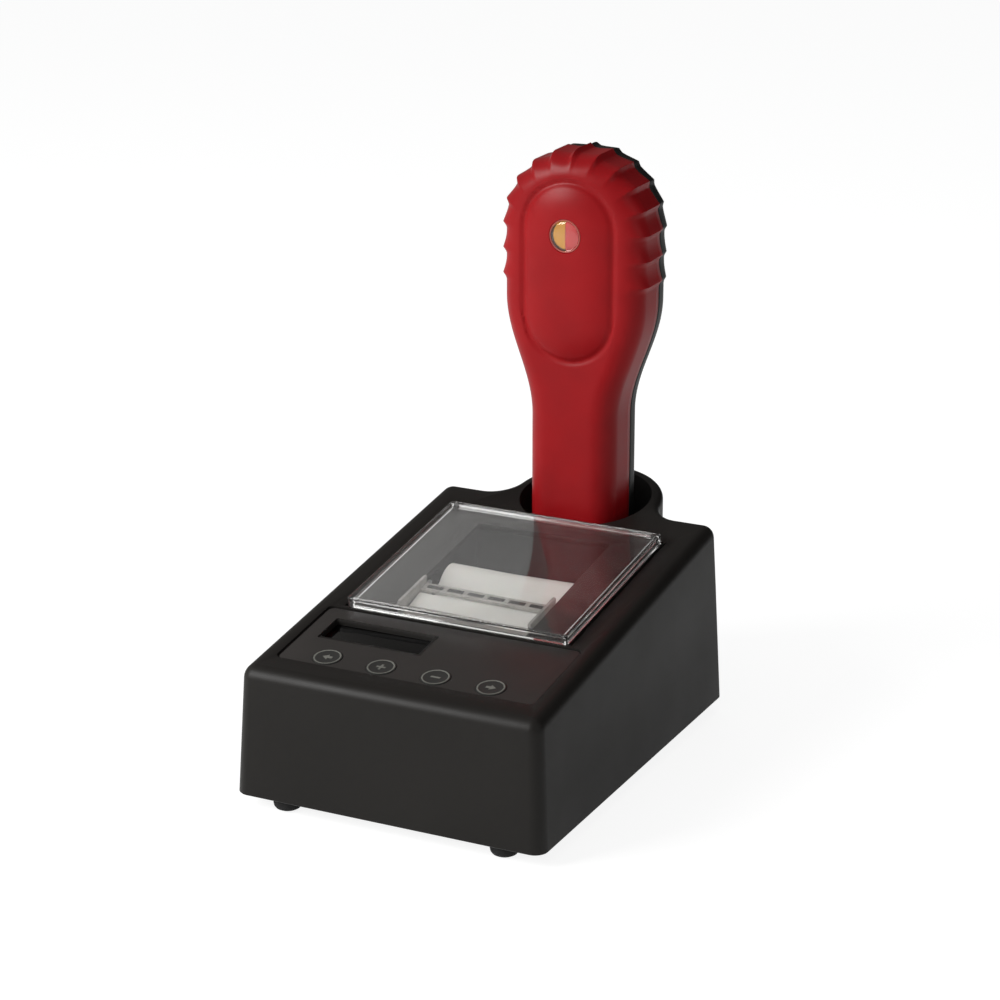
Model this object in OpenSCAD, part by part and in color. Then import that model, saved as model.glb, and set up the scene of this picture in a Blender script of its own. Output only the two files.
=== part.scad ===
// Guard-tour recorder: a desk dock with a small paper printer, and a hand-held reader that stands in it.
// Millimetres, +Z up. The origin is on the desk, under the middle of the whole object.
// Depths are measured from the dock's front bottom edge; on the sloping top they run up the slope.

/* [Dock body] */
// Width of the dock at its bottom edge
body_w = 140; // [132:1:160]
// Depth of the dock at its bottom edge, without the socket bulge
body_d = 187.5; // [186:0.5:200]
// Height of the front wall up to the sharp top corner
front_h = 54.5; // [50:0.5:70]
// Slope of the top in degrees
top_angle = 8; // [6:0.5:10]
// Draft of the front and side walls in degrees
side_draft = 2.9; // [1:0.1:4]
// Draft of the back wall in degrees
back_draft = 1.9; // [1:0.1:3]
// Radius of the upright corners at the bottom edge
corner_r = 6; // [4:0.5:9]
// Radius of the edges round the top
edge_r = 5; // [3.5:0.5:7]
// Thickness of the side walls
wall = 2.6; // [2:0.1:3.2]
// Thickness of the top
top_wall = 3; // [2.6:0.1:3.6]

/* [Feet and base] */
// Height of the rubber feet below the dock
foot_h = 6; // [4:0.5:9]
// Radius of the rubber feet
foot_r = 6; // [4:0.5:8]
// Distance of the feet from the front and back edges
foot_in = 8.7; // [8.7:0.1:20]
// Distance of the feet from the sides
foot_side = 20.5; // [15:0.5:30]
// Thickness of the base plate
base_t = 2.4; // [1.8:0.2:3.4]
// Radius of the screw columns in the corners
column_r = 4; // [3.5:0.5:4.5]

/* [Control panel] */
// Width of the sunk control panel
panel_w = 117; // [112:1:122]
// Depth of the panel's front edge from the dock's front edge
panel_v = 15.9; // [13:0.1:18]
// Length of the panel up the slope
panel_l = 47.2; // [44:0.1:48]
// How far the panel is sunk
panel_sink = 1; // [0.8:0.1:1.4]
// Thickness of the panel film
film_t = 0.55; // [0.3:0.05:0.6]
// Radius of a key
key_r = 6.1; // [5:0.1:7]
// Spacing of the keys
key_pitch = 24.7; // [20:0.1:26]
// Middle of the key row, to the right of the centre
key_mid = -0.7; // [-4:0.1:4]
// Depth of the key row up the slope
key_v = 23.2; // [23:0.1:27]
// Travel of a key
key_travel = 0.6; // [0.3:0.1:0.7]
// Width of the display opening at the bottom of its bevel
lcd_w = 44; // [38:0.5:48]
// Length of the display opening up the slope
lcd_l = 11.8; // [10:0.1:14]
// Middle of the display, to the right of the centre
lcd_x = -28; // [-30:0.5:-20]
// Depth of the display's middle up the slope
lcd_v = 47.4; // [45:0.1:49]
// Width of the bevel round the display
lcd_bevel = 3.6; // [2:0.1:4]

/* [Paper lid] */
// Width of the clear lid
lid_w = 101.5; // [96:0.5:106]
// Depth of the lid's front edge up the slope
lid_v = 63.9; // [63.5:0.1:65]
// Bare top left behind the lid
lid_margin = 26; // [25.6:0.1:27.6]
// How far the lid stands above the top
lid_h = 4.4; // [4:0.1:6]
// Thickness of the lid's flat part
lid_t = 1.8; // [1.2:0.1:2]
// Thickness of the lid's walls
lid_wall = 2; // [1.6:0.1:2.4]
// Radius of the lid's hinge pins
hinge_r = 0.7; // [0.5:0.05:0.9]

/* [Printer bay] */
// Depth of the opening's front edge up the slope
bay_v = 66.8; // [66:0.1:68]
// Top left behind the opening
bay_margin = 37.1; // [36.7:0.1:40.7]
// Depth of the roll tub below the top
tub_depth = 32; // [26:1:34]
// Width of the paper
paper_w = 57.5; // [54:0.5:60]
// Outer radius of the paper left on the roll
roll_r = 11; // [9:0.5:12]
// Radius of the cardboard core
core_r = 7.2; // [6.8:0.1:8]
// Place of the roll's axis up the slope
roll_v = 115.5; // [114:0.5:122]
// Depth of the roll's axis below the top
roll_w = 13.7; // [12:0.1:16]
// Radius of the rubber platen
platen_r = 5; // [4.4:0.1:5.4]
// Place of the platen's axis up the slope
platen_v = 95.5; // [94.5:0.1:96.5]
// Depth of the platen's axis below the top
platen_w = 11.5; // [11:0.1:13]
// Number of slots in the paper guide
slot_count = 6; // [4:1:6]
// Module of the gears
gear_m = 0.5; // [0.4:0.05:0.5]

/* [Reader socket] */
// Radius of the round socket
socket_r = 29.5; // [27.5:0.5:31]
// Thickness of the socket's wall
socket_wall = 5; // [4:0.5:6]
// How far the socket's wall reaches in over the dock's back edge
socket_in = 30.7; // [29:0.1:31]
// How far the reader stands in front of the socket's axis
reader_forward = 3; // [0:0.5:3.5]
// Height of the socket's floor above the desk
socket_floor = 30; // [28:0.5:36]
// Height of the cup that holds the reader's foot
cup_h = 28; // [16:1:36]
// Radius of the hollow fillets beside the socket
blend_r = 13; // [6:1:16]

/* [Reader] */
// Half width of the handle
neck_hw = 20.2; // [18:0.2:21]
// Half width of the head without its ribs
head_hw = 32.8; // [28:0.2:36]
// Half depth of the reader
half_depth = 17.8; // [16:0.2:19]
// Height at which the handle starts to widen
neck_top = 94.5; // [80:0.5:100]
// Height at which the head has its full width
head_low = 147.5; // [135:0.5:152]
// Height of the head's round centre
head_u = 179.3; // [176:0.1:190]
// Thickness of the reader's shells
shell_t = 2.2; // [1.6:0.1:2.6]
// Radius of the reader's front edges
front_r = 10; // [7:0.5:10]
// Radius of the reader's back edges
back_r = 9.5; // [7:0.5:11.5]
// Distance of the seam behind the reader's middle
seam_y = 5.5; // [4:0.1:7]
// Height of the ribs
rib_h = 2.2; // [1:0.1:3]
// Angle between the ribs round the head
rib_step = 18; // [15:1:18]
// Number of straight ribs below the round part on each side
rib_rows = 2; // [1:1:2]
// Radius of the lens
lens_r = 7.4; // [5:0.1:9]
// How far the oval pad stands out
pad_h = 3.5; // [1:0.1:4]

/* [Hidden] */
$fn = 48;

// Small clearances between pieces
gap = 0.3;
fit = 0.05;
eps = 0.01;

// The slope
t_a = tan(top_angle);
c_a = cos(top_angle);
s_a = sin(top_angle);
t_s = tan(side_draft);
t_b = tan(back_draft);

// Overall depth and the places that hang on it
socket_d = body_d + socket_r + socket_wall - socket_in;
overall_d = socket_d + socket_r + socket_wall;
front_y = -overall_d / 2;
socket_y = front_y + socket_d;
reader_y = socket_y - reader_forward;
far = 400;

// Centres of the balls that round the top corners
front_ball_d = (t_s * (front_h - edge_r / c_a) + edge_r / cos(side_draft)) / (1 - t_s * t_a);
back_ball_d = (body_d - edge_r / cos(back_draft) - t_b * (front_h - edge_r / c_a)) / (1 + t_b * t_a);
function ball_h(d) = front_h + d * t_a - edge_r / c_a;
function ball_x(d) = body_w / 2 - t_s * ball_h(d) - edge_r / cos(side_draft);
function top_z(d) = foot_h + front_h + d * t_a;
back_top_d = body_d - t_b * (front_h + body_d * t_a);

// Base plate
base_z = foot_h + 0.4;
base_top = base_z + base_t;
column_x = body_w / 2 - wall - 9.4;
column_ds = [wall + 12, body_d - 40];
base_screw_r = 1.5;
screw_head_r = 2.8;
screw_head_h = 1.7;

// Boards and what they carry
board_t = 1.6;
board_z = base_top + 5.2;
main_w = 2 * (column_x - column_r - 1.4);
main_d0 = 48;
main_d1 = body_d - 6.5;
main_l = main_d1 - main_d0;
chip = [24, 24, 2.4];
driver = [14, 20, 3];
clock_part = [12, 10, 4];
header = [24, 8, 7];
store_r = 4;
store_h = 9;
store_pitch = 11;
post_r = 3.2;
post_xs = main_w / 2 - 5;
post_ds = [main_d0 + 6, main_d1 - 50];
port_x = body_w / 2 - 26;
port_z = board_z + board_t;
jack_w = 10;
jack_h = 11.5;
jack_hole_r = 3.2;
rj_w = 16;
rj_h = 13.5;
rj_open_w = 12;
rj_open_h = 8.5;
port_d = body_d - wall - 0.6 - t_b * (port_z + rj_h - foot_h);

// Control panel
key_xs = [for (i = [0:3]) key_mid + (i - 1.5) * key_pitch];
key_hole_r = key_r + gap;
key_flange_r = key_r + 1.3;
key_flange_t = 0.8;
key_stem_r = 2;
key_low = top_wall + 0.2 + key_flange_t + 0.7;
panel_board_w = 0.7 * body_w + 7;
switch_w = 6;
switch_h = 3.5;
switch_pin_r = 1.75;
panel_board_low = key_low + key_travel + 0.15 + switch_h + board_t;
panel_board_v0 = panel_v + 1;
panel_board_v1 = panel_v + panel_l - 3.5;
panel_post_x = panel_board_w / 2 - 4;
panel_post_r = 2.6;
display_rim = 4.5;
panel_posts_at = [[-panel_post_x, panel_board_v0 + 4], [panel_post_x, panel_board_v0 + 4],
  [panel_post_x, panel_board_v1 - 4], [-panel_post_x, lcd_v - lcd_l / 2 - display_rim - panel_post_r - 0.5]];
window_t = 1.3;
window_low = top_wall + 0.1 + window_t;

// Paper lid and its hinge
lid_l = body_d - lid_v - lid_margin;
lid_back_v = lid_v + lid_l;
hinge_v = lid_back_v - 1.5;
hinge_w = 1.25;
ear_r = 1.2;
ear_w = 2;
ear_x = lid_w / 2 - lid_wall - 0.35 - ear_w;
groove_depth = 1;
groove_v0 = hinge_v - 1.9;
groove_v1 = lid_back_v + 0.6;
lid_low = 0.15;
lid_lug_low = 0.25;

// Printer bay: room for the paper, the cheeks and the ends of the spindle
bay_w = paper_w + 5.3;
bay_l = body_d - bay_v - bay_margin;

// Printer frame, measured in the bay
paper_t = 0.25;
cheek_t = 1.5;
cheek_x = paper_w / 2 + 0.55;
cheek_out = cheek_x + cheek_t;
frame_v0 = bay_v + 5;
frame_v1 = platen_v + 6;
frame_low = platen_w + 7;
frame_high = 2.7;
flange_t = 1.5;
flange_w = 8;
flange_high = top_wall + 0.1;
flange_l = 11;
guide_l = 5.5;
guide_t = 1.2;
guide_v = platen_v - 4.4;
wing_high = 1.6;
wing_t = 1.5;
wing_v0 = frame_v0 + 0.2;
slot_l = 2.8;
slot_pitch = (2 * cheek_x - 1.4) / slot_count;
slot_w = slot_pitch - 2;
bezel_t = 0.8;
bezel_low = 3.4 + bezel_t;
bezel_v1 = platen_v - platen_r - 4.2;

// Gears: the platen's gear, an idler and the motor's pinion
platen_teeth = 24;
idler_teeth = 20;
pinion_teeth = 12;
idler_dir = -110;
pinion_dir = -120;
gear_play = 0.06;
gear_x = cheek_out + 0.6;
gear_t = 4;
shaft_r = 1.5;
function pitch_r(n) = gear_m * n / 2;
idler_c = [platen_v, -platen_w] + (pitch_r(platen_teeth) + pitch_r(idler_teeth) + gear_play)
  * [cos(idler_dir), sin(idler_dir)];
motor_c = idler_c + (pitch_r(idler_teeth) + pitch_r(pinion_teeth) + gear_play)
  * [cos(pinion_dir), sin(pinion_dir)];
platen_turn = idler_dir;
idler_turn = idler_dir + 180 + 180 / idler_teeth;
pinion_turn = pinion_dir + 180 + 180 / pinion_teeth + (pinion_dir - idler_turn) * idler_teeth / pinion_teeth;
motor_r = 7;
motor_l = 17;
motor_shaft_r = 1;
idler_axle_r = 1.2;

// Roll tub
tub_wall = 1.8;
tub_v0 = platen_v + 7.4;
tub_lip = 20;
tub_v1 = bay_v + bay_l;
cradle_t = 2;
journal_r = 3;
core_in_r = core_r - 1.2;
spindle_l = bay_w - 0.4;

// Contacts under the reader
pin_r = 0.9;
barrel_r = 1.5;
pin_pitch = 5;
pin_xs = [for (i = [0:3]) (i - 1.5) * pin_pitch];
pin_y = reader_y - 1;
pin_travel = 1;
cup_floor = 3;
reader_z = socket_floor + cup_floor + 0.1;
pin_top = reader_z - 0.1;
socket_floor_t = 2.5;
pin_low = socket_floor - socket_floor_t - 0.5;
contact_board_z = pin_low - pin_travel - 0.6 - board_t;
barrel_top = socket_floor + cup_floor - 0.7;
cup_clear = 0.6;
carrier_post_r = 2;
carrier_post_x = pin_xs[3] + barrel_r + carrier_post_r + 0.5;

// Reader
seam_gap = 0.3;
back_round = min(back_r, half_depth - seam_y - seam_gap - 0.5);
end_r = max(front_r, back_round) + 1;
back_ribs = 0.65;
rib_below = 2.5;
rib_above = 6;
rib_pitch = 11.3;
outline_steps = 8;
edge_steps = 5;
head_top = head_u + head_hw;
pad_r = 20.4;
pad_u = 161;
pad_half = 39;
lens_u = 178;
boss_r = 3;
reader_screw_r = 1.3;
screw_us = [9, head_u - 13];
screw_xs = [neck_hw - shell_t - 4.6, head_hw - shell_t - 6];
cell_r = 7.2;
cell_l = 47;
cell_y = half_depth - shell_t - cell_r - 1.2;
cell_u = 13;
reader_board_y = -5.4;
reader_board_w = 14;
coil_in = 12;
coil_out = 16;

// Places its children in the sloping frame: x across, y up the slope, z square out of the top
module on_top() translate([0, front_y, foot_h + front_h]) rotate([top_angle, 0, 0]) children();

// Places its children with z = 0 at the reader's foot and y = 0 at its middle
module in_socket() translate([0, reader_y, reader_z]) children();

// Everything below the sloping top
module under_top() on_top() translate([-far / 2, -far / 2, -far]) cube([far, 2 * far, far]);

// A flat rectangle with round corners
module rounded(w, l, r) {
  square([w - 2 * r, l], center = true);
  square([w, l - 2 * r], center = true);
  for (sx = [-1, 1], sy = [-1, 1]) translate([sx * (w / 2 - r), sy * (l / 2 - r)]) circle(r = r);
}

// A plate between two depths on the slope, with its lower and upper levels
module slope_plate(w, v0, v1, low, high, r) {
  translate([0, (v0 + v1) / 2, low]) linear_extrude(high - low) rounded(w, v1 - v0, r);
}

// A block given by its lowest and highest corners
module block(a, b) translate(a) cube(b - a);

// A cylinder along x between two places
module rod_x(x0, x1, r) translate([x0, 0, 0]) rotate([0, 90, 0]) cylinder(r = r, h = x1 - x0);

// A screw with its head down, from the seat of the head at z = 0 upwards
module screw_up(shank_r, head_r, head_h, l) {
  translate([0, 0, -head_h]) cylinder(r = head_r, h = head_h);
  translate([0, 0, -eps]) cylinder(r = shank_r, h = l + eps);
}

// Upper housing

module body_outer() hull() {
  for (sx = [-1, 1]) {
    for (d = [corner_r, body_d - corner_r])
      translate([sx * (body_w / 2 - corner_r), front_y + d, foot_h])
        cylinder(r = corner_r, h = 0.5, $fn = 32);
    for (d = [front_ball_d, back_ball_d])
      translate([sx * ball_x(d), front_y + d, foot_h + ball_h(d)])
        rotate([top_angle, 0, 0]) sphere(r = edge_r, $fn = 32);
  }
}

module body_cavity() hull() {
  block([-body_w / 2 + wall, front_y + wall, foot_h - 1],
    [body_w / 2 - wall, front_y + body_d - wall, foot_h + 0.1]);
  for (sx = [-1, 1], d = [front_ball_d, back_ball_d])
    let (in = edge_r - wall - 0.5, way = d == front_ball_d ? -1 : 1)
      translate([sx * (ball_x(d) + in), front_y + d + way * in,
        foot_h + ball_h(d) + (edge_r - top_wall - 0.5) / c_a + way * in * t_a])
        rotate([top_angle, 0, 0]) cube(1, center = true);
}

module socket_fillets() {
  r = socket_r + socket_wall;
  back = back_top_d - socket_d;
  x = sqrt(pow(r + blend_r - fit, 2) - pow(back + blend_r, 2));
  high = (back + blend_r) * r / (r + blend_r);
  translate([0, socket_y, foot_h]) linear_extrude(far / 2) difference() {
    translate([-x, back - 4]) square([2 * x, high - back + 4]);
    for (sx = [-1, 1]) translate([sx * x, back + blend_r]) circle(r = blend_r, $fn = 72);
  }
}

module housing_column(x, d) {
  translate([x, front_y + d, base_top]) cylinder(r = column_r, h = top_z(d) - base_top - 1.7);
}

module panel_posts() {
  for (p = panel_posts_at) translate([p[0], p[1], -panel_board_low + board_t])
    cylinder(r = panel_post_r, h = panel_board_low - board_t - 2);
}

module hinge_ears() {
  for (sx = [-1, 1]) translate([sx * (ear_x + ear_w / 2) - ear_w / 2, hinge_v, hinge_w]) {
    rod_x(0, ear_w, ear_r);
    block([0, -ear_r, -hinge_w - groove_depth - 0.5], [ear_w, ear_r, 0]);
  }
}

module port_cuts() {
  translate([-port_x, front_y + body_d + 1, port_z + jack_h / 2]) rotate([90, 0, 0])
    cylinder(r = jack_hole_r + 1.2, h = wall + 8);
  block([port_x - rj_open_w / 2 - 0.4, front_y + body_d - wall - 7, port_z + 1.6],
    [port_x + rj_open_w / 2 + 0.4, front_y + body_d + 1, port_z + 2.4 + rj_open_h]);
}

module housing_body() difference() {
  union() {
    difference() {
      union() {
        body_outer();
        intersection() {
          union() {
            translate([0, socket_y, foot_h]) cylinder(r = socket_r + socket_wall, h = far / 2, $fn = 96);
            socket_fillets();
          }
          under_top();
        }
      }
      body_cavity();
      translate([0, socket_y, foot_h - 1])
        cylinder(r = socket_r + socket_wall - wall, h = socket_floor - socket_floor_t - foot_h + 1, $fn = 96);
    }
    intersection() {
      translate([0, socket_y, socket_floor - socket_floor_t])
        cylinder(r = socket_r + socket_wall, h = far / 2, $fn = 96);
      under_top();
    }
    for (sx = [-1, 1], d = column_ds) housing_column(sx * column_x, d);
    on_top() panel_posts();
    for (sx = [-1, 1]) translate([sx * carrier_post_x, pin_y, contact_board_z + board_t])
      cylinder(r = carrier_post_r, h = socket_floor - socket_floor_t - contact_board_z - board_t + 0.5);
  }
  translate([0, socket_y, socket_floor]) cylinder(r = socket_r, h = far, $fn = 96);
  for (x = pin_xs) translate([x, pin_y, socket_floor - 4]) cylinder(r = barrel_r + fit, h = 8);
  for (sx = [-1, 1], d = column_ds) translate([sx * column_x, front_y + d, base_top - 1])
    cylinder(r = base_screw_r + fit, h = 11);
  port_cuts();
  on_top() {
    slope_plate(panel_w, panel_v, panel_v + panel_l, -panel_sink, 3, 3);
    for (x = key_xs) translate([x, key_v, -top_wall - 1]) cylinder(r = key_hole_r, h = top_wall + 2);
    translate([lcd_x, 0, 0]) hull() {
      slope_plate(lcd_w, lcd_v - lcd_l / 2, lcd_v + lcd_l / 2, -top_wall - 1, -top_wall + 0.4, 0.6, $fn = 24);
      slope_plate(lcd_w + 2 * lcd_bevel, lcd_v - lcd_l / 2 - lcd_bevel, lcd_v + lcd_l / 2 + lcd_bevel,
        -panel_sink - eps, 0, 1.2, $fn = 24);
    }
    slope_plate(bay_w, bay_v, bay_v + bay_l, -top_wall - 3, 1, 1);
    difference() {
      slope_plate(lid_w + 1, groove_v0, groove_v1, -groove_depth, 1, 0.5);
      hinge_ears();
    }
    for (p = panel_posts_at) translate([p[0], p[1], -panel_board_low]) cylinder(r = 1 + fit, h = 6);
    for (p = bay_screw_places()) translate([p[0], p[1], -top_wall - 1])
      cylinder(r = 1 + fit, h = 1 + top_wall - 1.2);
  }
}

module upper_housing() color("#343432") {
  housing_body();
  on_top() difference() {
    hinge_ears();
    translate([0, hinge_v, hinge_w]) rod_x(-lid_w, lid_w, hinge_r + 0.02);
  }
}

// Base and feet

module base_outline(g) {
  translate([0, front_y + body_d / 2])
    rounded(body_w - 2 * wall - 2 * g, body_d - 2 * wall - 2 * g, corner_r - wall);
  translate([0, socket_y]) circle(r = socket_r + socket_wall - wall - g, $fn = 96);
}

foot_places = [for (sx = [-1, 1], d = [foot_in, body_d - foot_in])
  [sx * (body_w / 2 - foot_side), front_y + d]];

module base_plate() color("#1f1f1f") {
  difference() {
    translate([0, 0, base_z]) linear_extrude(base_t) base_outline(0.4);
    for (sx = [-1, 1], d = column_ds) translate([sx * column_x, front_y + d, base_z - 1])
      cylinder(r = base_screw_r + 0.2, h = base_t + 2);
    for (p = foot_places) translate([p[0], p[1], base_z - 1]) cylinder(r = 2.5, h = base_t + 2);
  }
  for (sx = [-1, 1], d = post_ds) translate([sx * post_xs, front_y + d, base_top - eps]) difference() {
    cylinder(r = post_r, h = board_z - base_top + eps);
    translate([0, 0, 1]) cylinder(r = 1.1, h = board_z);
  }
}

module feet() color("#111111") for (p = foot_places) translate([p[0], p[1], 0]) {
  cylinder(r1 = foot_r - 0.8, r2 = foot_r, h = 0.8);
  translate([0, 0, 0.8 - eps]) cylinder(r = foot_r, h = base_z - 0.8 + eps);
  cylinder(r = 2.45, h = base_top);
  translate([0, 0, base_top]) cylinder(r1 = 3.2, r2 = 2, h = 1.2);
}

module base_screws() color("#7a7a78") for (sx = [-1, 1], d = column_ds)
  translate([sx * column_x, front_y + d, base_z]) screw_up(base_screw_r, screw_head_r, screw_head_h, 10);

// Control panel

module panel_film() color("#2e2e2c") on_top() difference() {
  slope_plate(panel_w - 0.6, panel_v + gap, panel_v + panel_l - gap, -panel_sink, -panel_sink + film_t, 2.7);
  translate([lcd_x, 0, 0])
    slope_plate(lcd_w + 2 * lcd_bevel, lcd_v - lcd_l / 2 - lcd_bevel, lcd_v + lcd_l / 2 + lcd_bevel, -3,
      1, 1.2);
  for (x = key_xs) translate([x, key_v, -3]) cylinder(r = key_hole_r, h = 5);
}

module key(i) color("#3a3a38") on_top() translate([key_xs[i], key_v, 0]) {
  translate([0, 0, -top_wall - 0.3]) cylinder(r = key_r, h = top_wall + 0.2);
  translate([0, 0, -top_wall - 0.2 - key_flange_t]) cylinder(r = key_flange_r, h = key_flange_t);
  translate([0, 0, -key_low]) cylinder(r = key_stem_r, h = 1);
  translate([0, 0, -0.1 - eps]) difference() {
    cylinder(r = key_r - 0.4, h = 0.3);
    translate([0, 0, -1]) cylinder(r = key_r - 1.1, h = 3);
  }
}
module key_1() key(0);
module key_2() key(1);
module key_3() key(2);
module key_4() key(3);

module display_window() color([0.2, 0.22, 0.24, 0.6]) on_top() translate([lcd_x, 0, 0])
  slope_plate(lcd_w + 5, lcd_v - lcd_l / 2 - 2.5, lcd_v + lcd_l / 2 + 2.5, -window_low, -top_wall - 0.1, 1);

module display_module() color("#3b4540") on_top() translate([lcd_x, 0, 0]) {
  slope_plate(lcd_w + 5, lcd_v - lcd_l / 2 - display_rim, lcd_v + lcd_l / 2 + display_rim,
    -panel_board_low + board_t + 0.1, -window_low - 1.4, 0.8);
  slope_plate(lcd_w + 2, lcd_v - lcd_l / 2 - 1, lcd_v + lcd_l / 2 + 1, -window_low - 1.4 - eps,
    -window_low - 0.1, 0.5);
}

module panel_board() color("#1d5a35") on_top() difference() {
  slope_plate(panel_board_w, panel_board_v0, panel_board_v1, -panel_board_low, -panel_board_low + board_t, 1);
  for (p = panel_posts_at) translate([p[0], p[1], -panel_board_low - 1]) cylinder(r = 1.2, h = board_t + 2);
}

module panel_screws() color("#9a9a98") on_top() for (p = panel_posts_at)
  translate([p[0], p[1], -panel_board_low]) screw_up(1, 2, 1.3, 5);

module key_switches() color("#202020") on_top() for (x = key_xs)
  translate([x, key_v, -panel_board_low + board_t]) {
    translate([-switch_w / 2, -switch_w / 2, 0]) cube([switch_w, switch_w, switch_h]);
    cylinder(r = switch_pin_r, h = switch_h + 0.1);
  }

// Paper lid

module paper_lid() color([0.55, 0.55, 0.55, 0.35]) on_top() difference() {
  slope_plate(lid_w, lid_v, lid_back_v, lid_low, lid_h, 1.5);
  slope_plate(lid_w - 2 * lid_wall, lid_v + lid_wall, lid_back_v - lid_wall, -1, lid_h - lid_t, 1);
  block([-lid_w, hinge_v - 0.3, -1], [lid_w, lid_back_v + 1, lid_lug_low]);
  for (sx = [-1, 1]) translate([sx * (ear_x + ear_w / 2), hinge_v, 0])
    block([-ear_w / 2 - 0.35, -3, -1], [ear_w / 2 + 0.35, 5, lid_h - lid_t]);
  translate([0, hinge_v, hinge_w]) rod_x(-lid_w, lid_w, hinge_r + fit);
}

module lid_hinge_pins() color("#b8b8b4") on_top() for (sx = [-1, 1])
  translate([sx * (lid_w / 2 + ear_x) / 2, hinge_v, hinge_w])
    rod_x(-(lid_w / 2 - ear_x) / 2 + 0.3, (lid_w / 2 - ear_x) / 2 - 0.3, hinge_r);

// Roll tub and printer frame

tub_screw_vs = [tub_v0 + 6, tub_v1 - 10];
frame_screw_v = frame_v0 + flange_l / 2;
flange_mid = bay_w / 2 + 4.4;
function bay_screw_places() = [for (sx = [-1, 1], v = concat([frame_screw_v], tub_screw_vs))
  [sx * flange_mid, v]];

module roll_tub() color("#232323") on_top() difference() {
  union() {
    slope_plate(bay_w + 2 * tub_wall, tub_v0, tub_v1 + tub_wall, -tub_depth - tub_wall, -top_wall - 0.1, 1.5);
    slope_plate(bay_w + 2 * flange_w + 2 * tub_wall, tub_v0 + 1, tub_v1 - 5, -flange_high - flange_t,
      -flange_high, 1);
  }
  slope_plate(bay_w, tub_v0 - 1, tub_v0 + tub_wall + 1, -tub_lip, 1, 0.3);
  difference() {
    slope_plate(bay_w, tub_v0 + tub_wall, tub_v1, -tub_depth, 1, 1);
    for (sx = [-1, 1]) difference() {
      translate([sx * (bay_w / 2 - cradle_t / 2), roll_v, 0])
        block([-cradle_t / 2 - eps, -6, -tub_depth - 1], [cradle_t / 2 + 0.5, 6, -roll_w + 3]);
      translate([0, roll_v, -roll_w]) {
        rod_x(-bay_w, bay_w, journal_r + fit);
        block([-bay_w, -journal_r - fit, 0], [bay_w, journal_r + fit, tub_depth]);
      }
    }
  }
  for (sx = [-1, 1], v = tub_screw_vs) translate([sx * flange_mid, v, -tub_depth])
    cylinder(r = 1.2, h = tub_depth);
}

module bay_screws() color("#9a9a98") on_top() for (p = bay_screw_places())
  translate([p[0], p[1], -flange_high - flange_t]) screw_up(1, 2, 1.3, flange_t + 1.6);

module cheek_shape(low_lobe) {
  difference() {
    union() {
      translate([frame_v0, -frame_low]) square([frame_v1 - frame_v0, frame_low - frame_high]);
      if (low_lobe) translate([motor_c[0] - motor_r - 2, motor_c[1] - motor_r - 1])
        square([2 * motor_r + 4, -motor_c[1] + motor_r + 1 - frame_low + 1]);
    }
    translate([platen_v, -platen_w]) circle(r = shaft_r + fit);
    if (low_lobe) {
      translate(motor_c) circle(r = 2.5);
      translate(idler_c) circle(r = idler_axle_r + 0.02);
    }
  }
}

module cheek(sx) translate([sx > 0 ? cheek_x : -cheek_out, 0, 0])
  rotate([90, 0, 90]) linear_extrude(cheek_t) cheek_shape(sx > 0);

module printer_frame() color("#8c8c88") on_top() difference() {
  union() {
    cheek(-1);
    cheek(1);
    block([-cheek_out, frame_v0, -frame_low - cheek_t], [cheek_out, frame_v1, -frame_low]);
    for (sx = [-1, 1]) translate([sx * (cheek_out + flange_w / 2 - eps), frame_v0 + flange_l / 2, 0])
      block([-flange_w / 2, -flange_l / 2, -flange_high - flange_t], [flange_w / 2, flange_l / 2,
        -flange_high]);
  }
  for (sx = [-1, 1]) translate([sx * flange_mid, frame_screw_v, -frame_low]) cylinder(r = 1.2, h = frame_low);
  translate([0, motor_c[0], motor_c[1]]) rod_x(cheek_x - 1, cheek_out + 1, 2.5);
}

module paper_guide() color("#d9d6cf") on_top() difference() {
  union() {
    slope_plate(2 * cheek_x + 1, guide_v, guide_v + guide_l, -frame_high + 0.02, -frame_high + guide_t, 0.3);
    for (sx = [-1, 1]) translate([sx * (cheek_x + wing_t / 2), 0, 0])
      slope_plate(wing_t, wing_v0, guide_v + guide_l, -frame_high + 0.02, wing_high, 0.4);
  }
  for (i = [0:slot_count - 1]) translate([(i - (slot_count - 1) / 2) * slot_pitch, 0, 0])
    slope_plate(slot_w, guide_v + (guide_l - slot_l) / 2, guide_v + (guide_l + slot_l) / 2,
      -frame_high - 1, 0, 0.4);
}

module printer_bezel() color("#b9b7b1") on_top() {
  slope_plate(bay_w - 0.6, bay_v + gap, frame_v0 - gap, -bezel_low, -bezel_low + bezel_t, 0.5);
  slope_plate(2 * cheek_x - 0.2, bay_v + gap, bezel_v1, -bezel_low, -bezel_low + bezel_t, 0.5);
  block([-cheek_x + 0.3, bezel_v1 - 3.5, -bezel_low - 3], [cheek_x - 0.3, bezel_v1 - 2.5, -bezel_low + eps]);
  for (sx = [-1, 1]) translate([sx * (cheek_x - 1.2), 0, 0])
    block([-0.7, frame_v0 + 1, -frame_low], [0.7, frame_v0 + 4, -bezel_low + eps]);
}

// Platen, gears and motor

module gear_shape(n, turn) {
  r = pitch_r(n);
  step = 360 / n;
  root = r - 1.25 * gear_m;
  tip = r + 0.85 * gear_m;
  rotate(turn) polygon([for (i = [0:n - 1])
    for (q = [[-0.3, root], [-0.21, r], [-0.1, tip], [0.1, tip], [0.21, r],
    [0.3, root]]) q[1] * [cos((i + q[0]) * step), sin((i + q[0]) * step)]]);
}

module gear(n, turn, bore, c) translate([gear_x, c[0], c[1]]) rotate([90, 0, 90]) linear_extrude(gear_t)
  difference() {
    gear_shape(n, turn);
    circle(r = bore);
  }

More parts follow.
